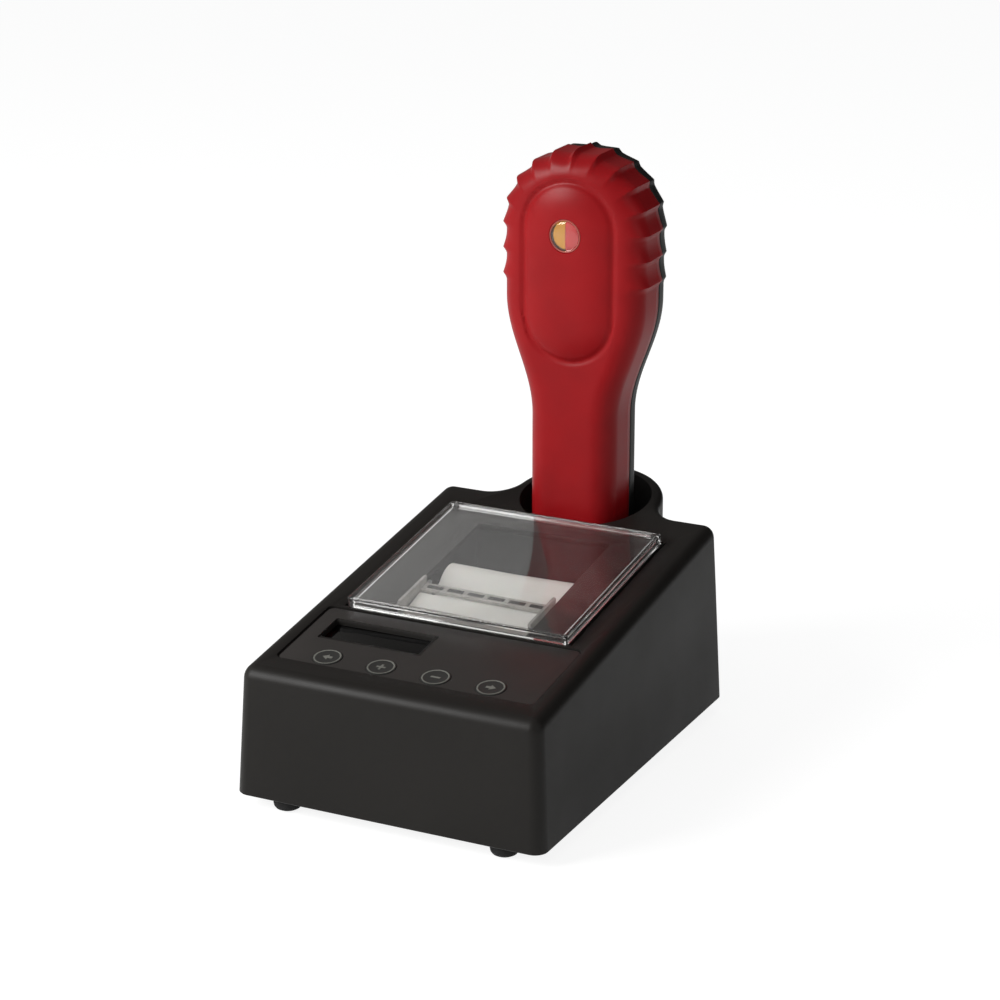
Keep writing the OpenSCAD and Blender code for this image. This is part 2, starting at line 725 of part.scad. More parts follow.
module platen_shaft() color("#a8a8a4") on_top() translate([0, platen_v, -platen_w])
  rod_x(-cheek_out - 1.2, gear_x + gear_t + 0.6, shaft_r);

module platen_roller() color("#1c1c1c") on_top() translate([0, platen_v, -platen_w]) difference() {
  rod_x(-paper_w / 2 - 0.2, paper_w / 2 + 0.2, platen_r);
  rod_x(-paper_w, paper_w, shaft_r + 0.02);
}

module platen_gear() color("#e2dfd6") on_top()
  gear(platen_teeth, platen_turn, shaft_r + 0.02, [platen_v, -platen_w]);

module idler_axle() color("#a8a8a4") on_top() translate([0, idler_c[0], idler_c[1]])
  rod_x(cheek_x, gear_x + gear_t + 0.6, idler_axle_r);

module idler_gear() color("#e2dfd6") on_top() gear(idler_teeth, idler_turn, idler_axle_r + fit, idler_c);

module feed_motor() color("#6f7276") on_top() translate([0, motor_c[0], motor_c[1]]) {
  rod_x(cheek_x - 0.1 - motor_l, cheek_x - 0.1, motor_r);
  rod_x(cheek_x - 0.2, cheek_out - 0.2, 2.3);
  block([cheek_x - 1.1, -motor_r - 1.6, -2.5], [cheek_x - 0.1, motor_r + 1.6, 2.5]);
}

module motor_pinion() color("#c8a04a") on_top() {
  gear(pinion_teeth, pinion_turn, motor_shaft_r, motor_c);
  translate([0, motor_c[0], motor_c[1]]) rod_x(cheek_out + 0.1, gear_x + gear_t + 0.5, motor_shaft_r);
}

head_v = platen_v - platen_r - paper_t - 0.1;
module print_head() color("#c9c4b8") on_top() {
  block([-paper_w / 2 + 2, head_v - 1.2, -platen_w - 4], [paper_w / 2 - 2, head_v, -platen_w + 3.5]);
  block([-paper_w / 2 + 2, head_v - 4, -platen_w - 5], [paper_w / 2 - 2, head_v - 1.2 + eps,
    -platen_w + 2.5]);
  for (sx = [-1, 1]) translate([sx * (paper_w / 2 - 1), 0, 0])
    block([-1.4, head_v - 3.4, -platen_w - 2], [1.4, head_v - 1.8, -platen_w + 1]);
}

module head_spring() color("#b0b0aa") on_top() rotate([90, 0, 90]) translate([0, 0, -18]) linear_extrude(36)
  polygon([[head_v - 4.1, -platen_w - 1.2], [head_v - 4.1, -platen_w + 0.6], [frame_v0 + 3, -frame_low + 0.8],
    [frame_v0 + 1, -frame_low + 0.4], [frame_v0 + 1, -frame_low + 0.02], [frame_v0 + 3.4,
      -frame_low + 0.02]]);

// Paper

module roll_spindle() color("#2b2b2b") on_top() translate([0, roll_v, -roll_w]) {
  rod_x(-spindle_l / 2, spindle_l / 2, journal_r);
  rod_x(-paper_w / 2 + 0.6, paper_w / 2 - 0.6, core_in_r - fit);
}

module tube_x(l, r, inner) difference() {
  rod_x(-l / 2, l / 2, r);
  rod_x(-l, l, inner);
}

module roll_core() color("#a98a5e") on_top() translate([0, roll_v, -roll_w])
  tube_x(paper_w, core_r, core_in_r);

module paper_roll() color("#e8e4dd") on_top() translate([0, roll_v, -roll_w])
  tube_x(paper_w, roll_r, core_r + 0.02);

// The loose paper leaves the front of the roll, passes under the platen and comes up in front of it
roll_c = [roll_v, -roll_w];
platen_c = [platen_v, -platen_w];
reach_r = roll_r + 0.1;
bend_r = platen_r + 0.1;
span = norm(roll_c - platen_c);
lean = atan2(roll_c[1] - platen_c[1], roll_c[0] - platen_c[0]);
touch = lean - acos((bend_r + reach_r + paper_t) / span);
turn_r = 1.2;
turn_c = [platen_v - bend_r - paper_t - turn_r, -2.2 - turn_r - paper_t];
strip_end = [79.8, -3.1];
function strip_path(g) = concat(
  [roll_c - (reach_r + paper_t - g) * [cos(touch), sin(touch)]],
  [for (i = [0:8]) let (q = touch + (-180 - touch) * i / 8) platen_c + (bend_r + g) * [cos(q), sin(q)]],
  [for (i = [0:6]) turn_c + (turn_r + paper_t - g) * [cos(15 * i), sin(15 * i)]],
  [strip_end - [0, g]]);
strip_side = strip_path(0);
strip_back = strip_path(paper_t);
module paper_strip() color("#f0ede6") on_top() translate([-paper_w / 2, 0, 0]) rotate([90, 0, 90])
  linear_extrude(paper_w) polygon(concat(strip_side, [for (i = [len(strip_back) - 1:-1:0]) strip_back[i]]));

// Main board and its sockets

module main_board() color("#1d5a35") difference() {
  block([-main_w / 2, front_y + main_d0, board_z], [main_w / 2, front_y + main_d1, board_z + board_t]);
  for (sx = [-1, 1], d = post_ds) translate([sx * post_xs, front_y + d, board_z - 1])
    cylinder(r = 1.5, h = board_t + 2);
}

module board_parts() color("#262626") translate([0, front_y + main_d0, board_z + board_t]) {
  translate([-0.02 * main_w - chip[0] / 2, 0.165 * main_l, 0]) cube(chip);
  translate([0.21 * main_w, 0.15 * main_l, 0]) cube(driver);
  translate([-0.36 * main_w, 0.18 * main_l, 0]) cube(clock_part);
  for (i = [0:2]) translate([-0.32 * main_w + store_pitch * i, 0.5 * main_l, 0])
    cylinder(r = store_r, h = store_h);
  translate([0.15 * main_w, 0.45 * main_l, 0]) cube(header);
}

module board_screws() color("#9a9a98") for (sx = [-1, 1], d = post_ds)
  translate([sx * post_xs, front_y + d, board_z + board_t]) mirror([0, 0, 1]) screw_up(1, 2.4, 1.5, 5.5);

module power_inlet() color("#1b1b1b") translate([-port_x, front_y + port_d, port_z]) {
  difference() {
    block([-jack_w / 2, -14, 0], [jack_w / 2, 0, jack_h]);
    translate([0, 1, jack_h / 2]) rotate([90, 0, 0]) cylinder(r = jack_hole_r, h = 11);
  }
  translate([0, -1, jack_h / 2]) rotate([90, 0, 0]) cylinder(r = 1, h = 10);
}

module data_socket() color("#1b1b1b") translate([port_x, front_y + port_d, port_z]) difference() {
  block([-rj_w / 2, -18, 0], [rj_w / 2, 0, rj_h]);
  block([-rj_open_w / 2, -12, 2], [rj_open_w / 2, 1, 2 + rj_open_h]);
}

// Socket cup and contacts

module socket_cup() color("#1a1a1a") translate([0, socket_y, socket_floor]) difference() {
  cylinder(r = socket_r - 0.2, h = cup_h, $fn = 96);
  translate([0, reader_y - socket_y, cup_floor]) linear_extrude(cup_h)
    rounded(2 * (neck_hw + cup_clear), 2 * (half_depth + cup_clear), min(front_r, back_round) + cup_clear);
  for (x = pin_xs) translate([x, pin_y - socket_y, -1]) cylinder(r = barrel_r + fit, h = cup_floor + 2);
}

module contact_pins() color("#c9a54e") for (x = pin_xs) translate([x, pin_y, pin_low])
  cylinder(r = pin_r, h = pin_top - pin_low);

module contact_barrels() color("#b8b8b4") for (x = pin_xs)
  translate([x, pin_y, contact_board_z + board_t]) difference() {
    cylinder(r = barrel_r, h = barrel_top - contact_board_z - board_t);
    translate([0, 0, 0.3]) cylinder(r = pin_r + fit, h = 20);
  }

module contact_board() color("#1d5a35") translate([0, pin_y, contact_board_z + board_t / 2])
  cube([2 * (carrier_post_x + carrier_post_r), 12, board_t], center = true);

// Reader outline: each entry is [x, height, normal x, normal height, rib]

function neck_width(u) = neck_hw
  + (head_hw - neck_hw) * (1 - cos(180 * (u - neck_top) / (head_low - neck_top))) / 2;
function neck_slope(u) = (head_hw - neck_hw) * sin(180 * (u - neck_top) / (head_low - neck_top)) * PI
  / (2 * (head_low - neck_top));
function on_head(q, rib) = [head_hw * cos(q), head_u + head_hw * sin(q), cos(q), sin(q), rib];
function on_side(u, rib) = [head_hw, u, 1, 0, rib];
below_deg = rib_below / head_hw * 180 / PI;
above_deg = rib_above / head_hw * 180 / PI;
half_outline = concat(
  [for (k = [0:4]) let (q = -90 + 22.5 * k)
    [neck_hw - end_r + end_r * cos(q), end_r + end_r * sin(q), cos(q), sin(q), 0]],
  [for (k = [0:outline_steps]) let (u = neck_top + (head_low - neck_top) * k / outline_steps,
    s = neck_slope(u),
    m = sqrt(1 + s * s)) [neck_width(u), u, 1 / m, -s / m, 0]],
  [for (j = [rib_rows:-1:1]) for (q = [[-rib_below, 0], [0, 1], [rib_above, 0]])
    on_side(head_u - rib_pitch * j + q[0], q[1])],
  [for (k = [0:4]) for (q = [[-below_deg, 0], [0, 1], [above_deg, 0]]) on_head(rib_step * k + q[0], q[1])],
  [on_head(85, 0), on_head(90, 1)]);
outline = concat(half_outline,
  [for (i = [len(half_outline) - 2:-1:0]) let (p = half_outline[i]) [-p[0], p[1], -p[2], p[3], p[4]]]);
sides = len(outline);

// One ring of points: the outline drawn in by g at depth y, with a share of the ribs
function ring(g, y, ribs) = [for (p = outline)
  [p[0] + p[2] * (p[4] * ribs * rib_h - g), y, p[1] + p[3] * (p[4] * ribs * rib_h - g)]];
function rib_share(q) = q >= 72 ? 0 : q >= 54 ? 0.45 : q >= 36 ? 0.8 : 1;

// Half a shell between the seam and one face: dir is -1 for the front half and 1 for the back half
module half_shell(dir, r, ribs) {
  seam = seam_y + dir * seam_gap;
  face = dir * half_depth;
  centre = face - dir * r;
  quarter = [for (k = [0:edge_steps]) 90 * k / edge_steps];
  outer = concat([ring(0, seam, ribs)],
    [for (q = quarter) ring(r * (1 - cos(q)), centre + dir * r * sin(q), rib_share(q) * ribs)]);
  ri = r - shell_t;
  inner = concat(
    [for (k = [edge_steps:-1:0]) let (q = quarter[k]) ring(r - ri * cos(q), centre + dir * ri * sin(q), 0)],
    [ring(shell_t, seam, 0)]);
  rings = concat(outer, inner);
  last = len(rings) - 1;
  cap = len(outer) - 1;
  walls = [for (i = [0:last]) if (i != cap) for (j = [0:sides - 1])
    let (n = (j + 1) % sides, a = i * sides, b = (i + 1) % (last + 1) * sides)
      each [[a + j, a + n, b + n], [a + j, b + n, b + j]]];
  caps = [[for (j = [0:sides - 1]) cap * sides + j], [for (j = [sides - 1:-1:0]) (cap + 1) * sides + j]];
  faces = concat(walls, caps);
  polyhedron(points = [for (g = rings) each g], faces = dir < 0 ? [for (f = faces)
    [for (i = [len(f) - 1:-1:0]) f[i]]]
    : faces, convexity = 8);
}

// The oval that the pad and its groove follow
module oval(r) {
  translate([-r, pad_u - pad_half + pad_r]) square([2 * r, 2 * (pad_half - pad_r)]);
  for (s = [-1, 1]) translate([0, pad_u + s * (pad_half - pad_r)]) circle(r = r, $fn = 40);
}

// Places a flat shape drawn in x and height at depth y, with its thickness running forwards
module forwards(y, l) translate([0, y, 0]) rotate([90, 0, 0]) linear_extrude(l) children();

module reader_front_shell() color("#a51c22") in_socket() difference() {
  union() {
    half_shell(-1, front_r, 1);
    hull() for (q = [0:18:90])
      forwards(-half_depth + 0.3 - (pad_h + 0.2) * sin(q), 0.1) oval(pad_r - 0.8 - 12 * (1 - cos(q)));
    for (i = [0, 1], sx = [-1, 1]) translate([sx * screw_xs[i], seam_y - seam_gap, screw_us[i]])
      rotate([90, 0, 0]) cylinder(r = boss_r, h = seam_y - seam_gap + half_depth - shell_t + 0.4);
  }
  translate([0, -half_depth + 6, lens_u]) rotate([90, 0, 0]) cylinder(r = lens_r + 0.1, h = 20);
  for (i = [0, 1], sx = [-1, 1]) translate([sx * screw_xs[i], seam_y + 1, screw_us[i]])
    rotate([90, 0, 0]) cylinder(r = reader_screw_r + fit, h = 12);
  for (x = pin_xs) translate([x, pin_y - reader_y, -1]) cylinder(r = 1.85, h = 6);
}

module reader_rear_shell() color("#1c1c1c") in_socket() difference() {
  union() {
    half_shell(1, back_round, back_ribs);
    for (i = [0, 1], sx = [-1, 1]) translate([sx * screw_xs[i], half_depth - shell_t + 0.5, screw_us[i]])
      rotate([90, 0, 0]) cylinder(r = boss_r, h = half_depth - shell_t + 0.5 - seam_y - seam_gap);
  }
  for (i = [0, 1], sx = [-1, 1]) translate([sx * screw_xs[i], 0, screw_us[i]]) {
    translate([0, half_depth + 1, 0]) rotate([90, 0, 0]) cylinder(r = reader_screw_r + 0.2, h = half_depth);
    translate([0, half_depth + 1, 0]) rotate([90, 0, 0]) cylinder(r = 2.7, h = 4);
  }
}

module gasket_shape(g) polygon([for (p = outline) [p[0] - p[2] * g, p[1] - p[3] * g]]);
module seam_gasket() color("#101010") in_socket() forwards(seam_y + 0.25, 0.5) difference() {
  gasket_shape(0.5);
  gasket_shape(shell_t - 0.3);
}

module reader_lens() color([0.95, 0.85, 0.8, 0.5]) in_socket() translate([0, -half_depth + 2, lens_u])
  rotate([90, 0, 0]) {
    cylinder(r = lens_r, h = 2 + pad_h - 0.6);
    translate([0, 0, 2 + pad_h - 0.6 - eps]) intersection() {
      cylinder(r = lens_r, h = 3);
      translate([0, 0, 1.6 - lens_r * 2.4]) sphere(r = lens_r * 2.4, $fn = 96);
    }
  }

module lamp_cup() color("#c49a45") in_socket() translate([0, reader_board_y - 0.1, lens_u]) rotate([90, 0, 0])
  difference() {
    cylinder(r = lens_r - 0.6, h = half_depth + reader_board_y - 2.4);
    translate([0, 0, 1.2]) cylinder(r = lens_r - 1.6, h = 30);
  }

module indicator_lamps() color("#d8262c") in_socket() for (sx = [-1, 1])
  translate([sx * 2.9, reader_board_y - 1.4, lens_u]) rotate([90, 0, 0]) {
    cylinder(r = 2.4, h = 4);
    translate([0, 0, 4]) sphere(r = 2.4);
  }

module reader_board() color("#1d5a35") in_socket() {
  block([-reader_board_w / 2, reader_board_y, 14], [reader_board_w / 2, reader_board_y + board_t,
    head_u + 20]);
  block([-coil_out - 1, reader_board_y, lens_u - coil_out - 1],
    [coil_out + 1, reader_board_y + board_t, lens_u + coil_out]);
}

module pickup_coil() color("#b5652a") in_socket() translate([0, reader_board_y - 0.1, lens_u])
  rotate([90, 0, 0])
  difference() {
    cylinder(r = coil_out, h = 5);
    translate([0, 0, -1]) cylinder(r = coil_in, h = 8);
  }

module sounder() color("#161616") in_socket() translate([0, reader_board_y - 0.1, head_low - 14])
  rotate([90, 0, 0])
  cylinder(r = 6, h = 5);

module battery_cells() color("#5d7f93") in_socket() for (i = [0, 1])
  translate([0, cell_y, cell_u + 2.4 + i * (cell_l + 2.4)]) {
    cylinder(r = cell_r, h = cell_l - 1.5);
    translate([0, 0, cell_l - 1.5 - eps]) cylinder(r = 2.6, h = 1.4);
  }

module battery_clips() color("#b8b8b4") in_socket() for (i = [0:2])
  translate([0, 0, cell_u + i * (cell_l + 2.4) + 0.2])
    block([-5, reader_board_y + board_t + 0.05, 0], [5, cell_y + cell_r - 2, 1.8]);

module foot_contacts() color("#c9a54e") in_socket() for (x = pin_xs)
  translate([x, pin_y - reader_y, 0]) cylinder(r = 1.8, h = shell_t + 1.6);

module reader_screws() color("#8d8d8a") in_socket() for (i = [0, 1], sx = [-1, 1])
  translate([sx * screw_xs[i], half_depth - 3, screw_us[i]]) rotate([90, 0, 0]) {
    translate([0, 0, -1.8]) cylinder(r = 2.5, h = 1.8);
    translate([0, 0, -eps]) cylinder(r = reader_screw_r, h = half_depth - 3 - seam_y + 8);
  }

upper_housing();
base_plate();
feet();
base_screws();
panel_film();
key_1();
key_2();
key_3();
key_4();
display_window();
display_module();
panel_board();
panel_screws();
key_switches();
paper_lid();
lid_hinge_pins();
roll_tub();
bay_screws();
printer_frame();
paper_guide();
printer_bezel();
platen_shaft();
platen_roller();
platen_gear();
idler_axle();
idler_gear();
feed_motor();
motor_pinion();
print_head();
head_spring();
roll_spindle();
roll_core();
paper_roll();
paper_strip();
main_board();
board_parts();
board_screws();
power_inlet();
data_socket();
socket_cup();
contact_pins();
contact_barrels();
contact_board();
reader_front_shell();
reader_rear_shell();
seam_gasket();
reader_lens();
lamp_cup();
indicator_lamps();
reader_board();
pickup_coil();
sounder();
battery_cells();
battery_clips();
foot_contacts();
reader_screws();
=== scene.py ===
import math

import bmesh
import bpy
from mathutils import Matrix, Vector
from mathutils.geometry import delaunay_2d_cdt


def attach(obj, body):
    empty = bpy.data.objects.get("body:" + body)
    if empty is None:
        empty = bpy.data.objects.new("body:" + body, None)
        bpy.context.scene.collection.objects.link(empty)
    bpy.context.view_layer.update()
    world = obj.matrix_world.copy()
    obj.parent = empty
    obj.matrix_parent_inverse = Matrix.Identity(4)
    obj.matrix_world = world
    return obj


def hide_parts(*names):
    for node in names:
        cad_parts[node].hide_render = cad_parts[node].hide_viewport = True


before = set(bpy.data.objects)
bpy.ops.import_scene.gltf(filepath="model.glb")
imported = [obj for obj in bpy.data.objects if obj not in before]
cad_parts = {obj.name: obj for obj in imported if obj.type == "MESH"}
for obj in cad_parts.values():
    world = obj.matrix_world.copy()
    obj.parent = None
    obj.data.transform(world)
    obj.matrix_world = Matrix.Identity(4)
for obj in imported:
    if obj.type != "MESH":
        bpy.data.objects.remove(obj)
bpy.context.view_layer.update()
print("frame loaded")

mm = 0.001

# the dock's sizes in mm and degrees, as the solids have them; depths run back from the front bottom edge
dock = {"width": 140, "depth": 187.5, "frontHeight": 54.5, "slope": 8.0, "footHeight": 6.0,
        "sideDraft": 2.9, "backDraft": 1.9, "cornerRadius": 6.0, "topCornerRadius": 5.3, "edgeRadius": 5.0,
        "wall": 2.6, "topWall": 3.0, "socketDepth": 191.3, "socketRadius": 29.5, "socketWall": 5.0,
        "socketFloor": 30.0, "blendRadius": 13.0, "rimRadius": 2.8}
slopeAngle = math.radians(dock["slope"])
slopeSin, slopeCos, slopeTan = math.sin(slopeAngle), math.cos(slopeAngle), math.tan(slopeAngle)
frontY = -(dock["socketDepth"] + dock["socketRadius"] + dock["socketWall"]) / 2
socketY = frontY + dock["socketDepth"]
topZ = dock["footHeight"] + dock["frontHeight"]


def onSlope(x, v, w):  # a place on the sloping top in mm: across, up the slope, square out of it
    return (x, frontY + v * slopeCos - w * slopeSin, topZ + v * slopeSin + w * slopeCos)


# camera, floor and light

# turn and lift in degrees, distance, aim and lens in mm
view = {"turn": 26.23, "lift": 18.68, "distance": 1245.97, "aim": (4.426, -17.007, 114.92), "lens": 108.0}


def placeCamera():
    turn, lift = math.radians(view["turn"]), math.radians(view["lift"])
    back = Vector((math.sin(turn) * math.cos(lift), -math.cos(turn) * math.cos(lift), math.sin(lift)))
    aim = Vector(view["aim"]) * mm
    data = bpy.data.cameras.new("camera")
    data.lens, data.sensor_width = view["lens"], 36.0
    data.clip_start, data.clip_end = 0.05, 50
    camera = bpy.data.objects.new("camera", data)
    bpy.context.scene.collection.objects.link(camera)
    camera.location = aim + back * view["distance"] * mm
    camera.rotation_euler = (aim - camera.location).to_track_quat("-Z", "Y").to_euler()
    bpy.context.scene.camera = camera


placeCamera()
print("camera placed")


def linear(hexColour):  # sRGB hex to the linear colour that the shaders want
    values = [int(hexColour[i:i + 2], 16) / 255 for i in (1, 3, 5)]
    return tuple(v / 12.92 if v <= 0.04045 else ((v + 0.055) / 1.055) ** 2.4 for v in values) + (1.0,)


def addNode(tree, kind, settings=None, links=None):
    node = tree.nodes.new(kind)
    for key, value in (settings or {}).items():
        if isinstance(key, str) and hasattr(node, key):
            setattr(node, key, value)
        else:
            node.inputs[key].default_value = value
    for key, source in (links or {}).items():
        tree.links.new(source, node.inputs[key])
    return node


def newMaterial(name):
    material = bpy.data.materials.new(name)
    material.use_nodes = True
    tree = material.node_tree
    tree.nodes.clear()
    out = addNode(tree, "ShaderNodeOutputMaterial")
    return material, tree, out


# the room is bright at the left and front and dim at the right, for soft light and, darker, in reflections:
# strengths from dim to bright and the span of directions over which they change
room = {"soft": {"dim": 0.14, "bright": 0.5, "from": -0.9, "to": 1.1, "colour": "#f2f4f7"},
        "mirrored": {"dim": 0.03, "bright": 0.42, "from": -0.8, "to": 1.1, "colour": "#fffaf6"},
        "frontWeight": 0.9}


def lightRoom():
    world = bpy.data.worlds.new("studio")
    world.use_nodes = True
    bpy.context.scene.world = world
    tree = world.node_tree
    tree.nodes.clear()
    out = addNode(tree, "ShaderNodeOutputWorld")
    path = addNode(tree, "ShaderNodeLightPath")
    seen = addNode(tree, "ShaderNodeMath", {"operation": "MAXIMUM"},
                   {0: path.outputs["Is Camera Ray"], 1: path.outputs["Is Transmission Ray"]})
    place = addNode(tree, "ShaderNodeTexCoord")
    axes = addNode(tree, "ShaderNodeSeparateXYZ", {}, {0: place.outputs["Generated"]})
    left = addNode(tree, "ShaderNodeMath", {"operation": "MULTIPLY", 1: -1.0}, {0: axes.outputs["X"]})
    side = addNode(tree, "ShaderNodeMath", {"operation": "MULTIPLY_ADD", 1: -room["frontWeight"]},
                   {0: axes.outputs["Y"], 2: left.outputs[0]})
    lit = {}
    for kind in ("soft", "mirrored"):
        walls = room[kind]
        strength = addNode(tree, "ShaderNodeMapRange",
                           {"From Min": walls["from"], "From Max": walls["to"],
                            "To Min": walls["dim"], "To Max": walls["bright"]},
                           {"Value": side.outputs[0]})
        lit[kind] = addNode(tree, "ShaderNodeBackground", {"Color": linear(walls["colour"])},
                            {"Strength": strength.outputs["Result"]})
    white = addNode(tree, "ShaderNodeBackground", {"Color": (1, 1, 1, 1), "Strength": 1.0})
    light = addNode(tree, "ShaderNodeMixShader", {},
                    {0: path.outputs["Is Glossy Ray"], 1: lit["soft"].outputs[0],
                     2: lit["mirrored"].outputs[0]})
    both = addNode(tree, "ShaderNodeMixShader", {},
                   {0: seen.outputs[0], 1: light.outputs[0], 2: white.outputs[0]})
    tree.links.new(both.outputs[0], out.inputs["Surface"])


# places and sizes in metres, power in watts; the lid would mirror the hidden one as a blob
lamps = {"keyLeft": {"at": (-0.85, -0.95, 0.85), "size": (0.7, 0.7), "power": 18.0, "hidden": False},
         "fillRight": {"at": (1.1, -0.35, 0.65), "size": (0.7, 0.9), "power": 1.2, "hidden": False},
         "topBack": {"at": (-0.1, 0.75, 1.1), "size": (0.9, 0.5), "power": 1.2, "hidden": True}}
lampsAim = Vector((0, 0, 0.09))


def placeLamps():
    for name, lamp in lamps.items():
        data = bpy.data.lights.new(name, "AREA")
        data.shape = "RECTANGLE"
        data.size, data.size_y = lamp["size"]
        data.energy = lamp["power"]
        thing = bpy.data.objects.new(name, data)
        bpy.context.scene.collection.objects.link(thing)
        thing.location = lamp["at"]
        thing.visible_glossy = not lamp["hidden"]
        thing.rotation_euler = (lampsAim - thing.location).to_track_quat("-Z", "Y").to_euler()


# half its width in metres, its paint, and the glow's share where the floor is seen and where it is mirrored
floor = {"half": 6, "paint": "#f4f4f2", "glow": 1.25, "seenShare": 0.7, "mirroredShare": 0.22}


def layFloor():
    material, tree, out = newMaterial("paintedStudioFloor")  # matt white paint: takes the soft shadow
    path = addNode(tree, "ShaderNodeLightPath")
    seen = addNode(tree, "ShaderNodeMath", {"operation": "MAXIMUM"},
                   {0: path.outputs["Is Camera Ray"], 1: path.outputs["Is Transmission Ray"]})
    mirrored = addNode(tree, "ShaderNodeMath", {"operation": "MULTIPLY", 1: floor["mirroredShare"]},
                       {0: path.outputs["Is Glossy Ray"]})
    share = addNode(tree, "ShaderNodeMath", {"operation": "MULTIPLY_ADD", 1: floor["seenShare"]},
                    {0: seen.outputs[0], 2: mirrored.outputs[0]})
    paint = addNode(tree, "ShaderNodeBsdfDiffuse", {"Color": linear(floor["paint"])})
    glow = addNode(tree, "ShaderNodeEmission", {"Color": (1, 1, 1, 1), "Strength": floor["glow"]})
    mix = addNode(tree, "ShaderNodeMixShader", {},
                  {0: share.outputs[0], 1: paint.outputs[0], 2: glow.outputs[0]})
    tree.links.new(mix.outputs[0], out.inputs["Surface"])
    mesh = bpy.data.meshes.new("studioFloor")
    half = floor["half"]
    corners = [(-half, -half, 0), (half, -half, 0), (half, half, 0), (-half, half, 0)]
    mesh.from_pydata(corners, [], [(0, 1, 2, 3)])
    mesh.materials.append(material)
    thing = bpy.data.objects.new("studioFloor", mesh)
    bpy.context.scene.collection.objects.link(thing)


lightRoom()
placeLamps()
layFloor()
bpy.context.scene.view_settings.view_transform = "Standard"
print("floor and lamps placed")


# materials: each one starts from the real material and how its surface was made

def surface(name, colour, rough, grain=0.3, depth=0.02, patches=0.06, patchSize=25, metal=0.0,
            stretch=(1, 1, 1), darker=None, specular=0.5, soften=0.0):
    # grain, depth and patchSize are in mm; patches is the share of slow colour change, darker its dark end;
    # stretch draws the grain out into lines, soften lets light in under the skin
    material, tree, out = newMaterial(name)
    place = addNode(tree, "ShaderNodeTexCoord")
    spread = addNode(tree, "ShaderNodeMapping", {"Scale": stretch}, {"Vector": place.outputs["Object"]})
    fine = addNode(tree, "ShaderNodeTexNoise", {"Scale": 1000 / grain, "Detail": 2.0, "Roughness": 0.6},
                   {"Vector": spread.outputs[0]})
    slow = addNode(tree, "ShaderNodeTexNoise", {"Scale": 1000 / patchSize, "Detail": 4.0, "Roughness": 0.55},
                   {"Vector": place.outputs["Object"]})
    base = linear(colour)
    dark = linear(darker) if darker else tuple(v * (1 - 2 * patches) for v in base[:3]) + (1.0,)
    ramp = addNode(tree, "ShaderNodeValToRGB", {}, {"Fac": slow.outputs["Fac"]})
    first, last = ramp.color_ramp.elements
    first.position, last.position = 0.35, 0.65
    first.color = dark
    last.color = tuple(min(1, v * (1 + patches)) for v in base[:3]) + (1.0,)
    shine = addNode(tree, "ShaderNodeMapRange",
                    {"From Min": 0.3, "From Max": 0.7, "To Min": rough - 0.05, "To Max": rough + 0.05},
                    {"Value": slow.outputs["Fac"]})
    bump = addNode(tree, "ShaderNodeBump", {"Strength": 1.0, "Distance": depth * mm},
                   {"Height": fine.outputs["Fac"]})
    shader = addNode(tree, "ShaderNodeBsdfPrincipled",
                     {"Metallic": metal, "IOR": 1.5, "Specular IOR Level": specular},
                     {"Base Color": ramp.outputs["Color"], "Roughness": shine.outputs["Result"],
                      "Normal": bump.outputs["Normal"]})
    if soften:
        shader.inputs["Subsurface Weight"].default_value = soften
        shader.inputs["Subsurface Scale"].default_value = 0.6 * mm
    tree.links.new(shader.outputs[0], out.inputs["Surface"])
    return material


def clearPlastic(name, tint, rough, ior=1.49, haze=None, dust=9):
    # haze is the share and colour of the dull film on it, dust the size in mm of its patches
    material, tree, out = newMaterial(name)
    place = addNode(tree, "ShaderNodeTexCoord")
    cloud = addNode(tree, "ShaderNodeTexNoise", {"Scale": 1000 / dust, "Detail": 5.0, "Roughness": 0.6},
                    {"Vector": place.outputs["Object"]})
    shine = addNode(tree, "ShaderNodeMapRange",
                    {"From Min": 0.35, "From Max": 0.75, "To Min": rough * 0.6, "To Max": rough * 1.5},
                    {"Value": cloud.outputs["Fac"]})
    shader = addNode(tree, "ShaderNodeBsdfPrincipled",
                     {"Base Color": linear(tint), "IOR": ior, "Transmission Weight": 1.0},
                     {"Roughness": shine.outputs["Result"]})
    if haze:
        share, colour = haze
        film = addNode(tree, "ShaderNodeBsdfDiffuse", {"Color": linear(colour)})
        amount = addNode(tree, "ShaderNodeMapRange",
                         {"From Min": 0.3, "From Max": 0.8, "To Min": share * 0.7, "To Max": share * 1.3},
                         {"Value": cloud.outputs["Fac"]})
        shader = addNode(tree, "ShaderNodeMixShader", {},
                         {0: amount.outputs["Result"], 1: shader.outputs[0], 2: film.outputs[0]})
    tree.links.new(shader.outputs[0], out.inputs["Surface"])
    return material


# the real grains are near 0.1 mm, too fine for the picture: they are drawn 0.25 to 0.6 mm wide, which is
# about a pixel, so that they show
# black ABS from a spark-eroded mould: a fine even grain that greys the highlights
absDock = surface("sparkErodedBlackAbs", "#201e1c", 0.42, grain=0.35, depth=0.012, patches=0.05, patchSize=60,
                  specular=0.2)
# black ABS from a smooth mould, for the hidden parts: even, and a little duller than the grained outside
# it also makes the dark floor of painted shade under the guide's slots
absInsideAndSlotShade = surface("mouldedBlackAbsAndSlotShade", "#181817", 0.5, grain=0.6, depth=0.01)
# red ABS from a finely eroded mould: satin, deep red, with a soft wide highlight
absRed = surface("sparkErodedRedAbs", "#9a1217", 0.36, grain=0.35, depth=0.008, patches=0.04, patchSize=40,
                 darker="#8f1015", specular=0.16)
# black ABS with a coarser mould grain, for the reader's back: dull, and a touch speckled
absBack = surface("coarseGrainBlackAbs", "#181817", 0.5, grain=0.5, depth=0.02)
# polyester film, printed and with a velvet finish: flat dark grey, almost no gloss
polyesterFilm = surface("velvetPolyesterFilm", "#302d2b", 0.38, grain=0.25, depth=0.006, patches=0.03)
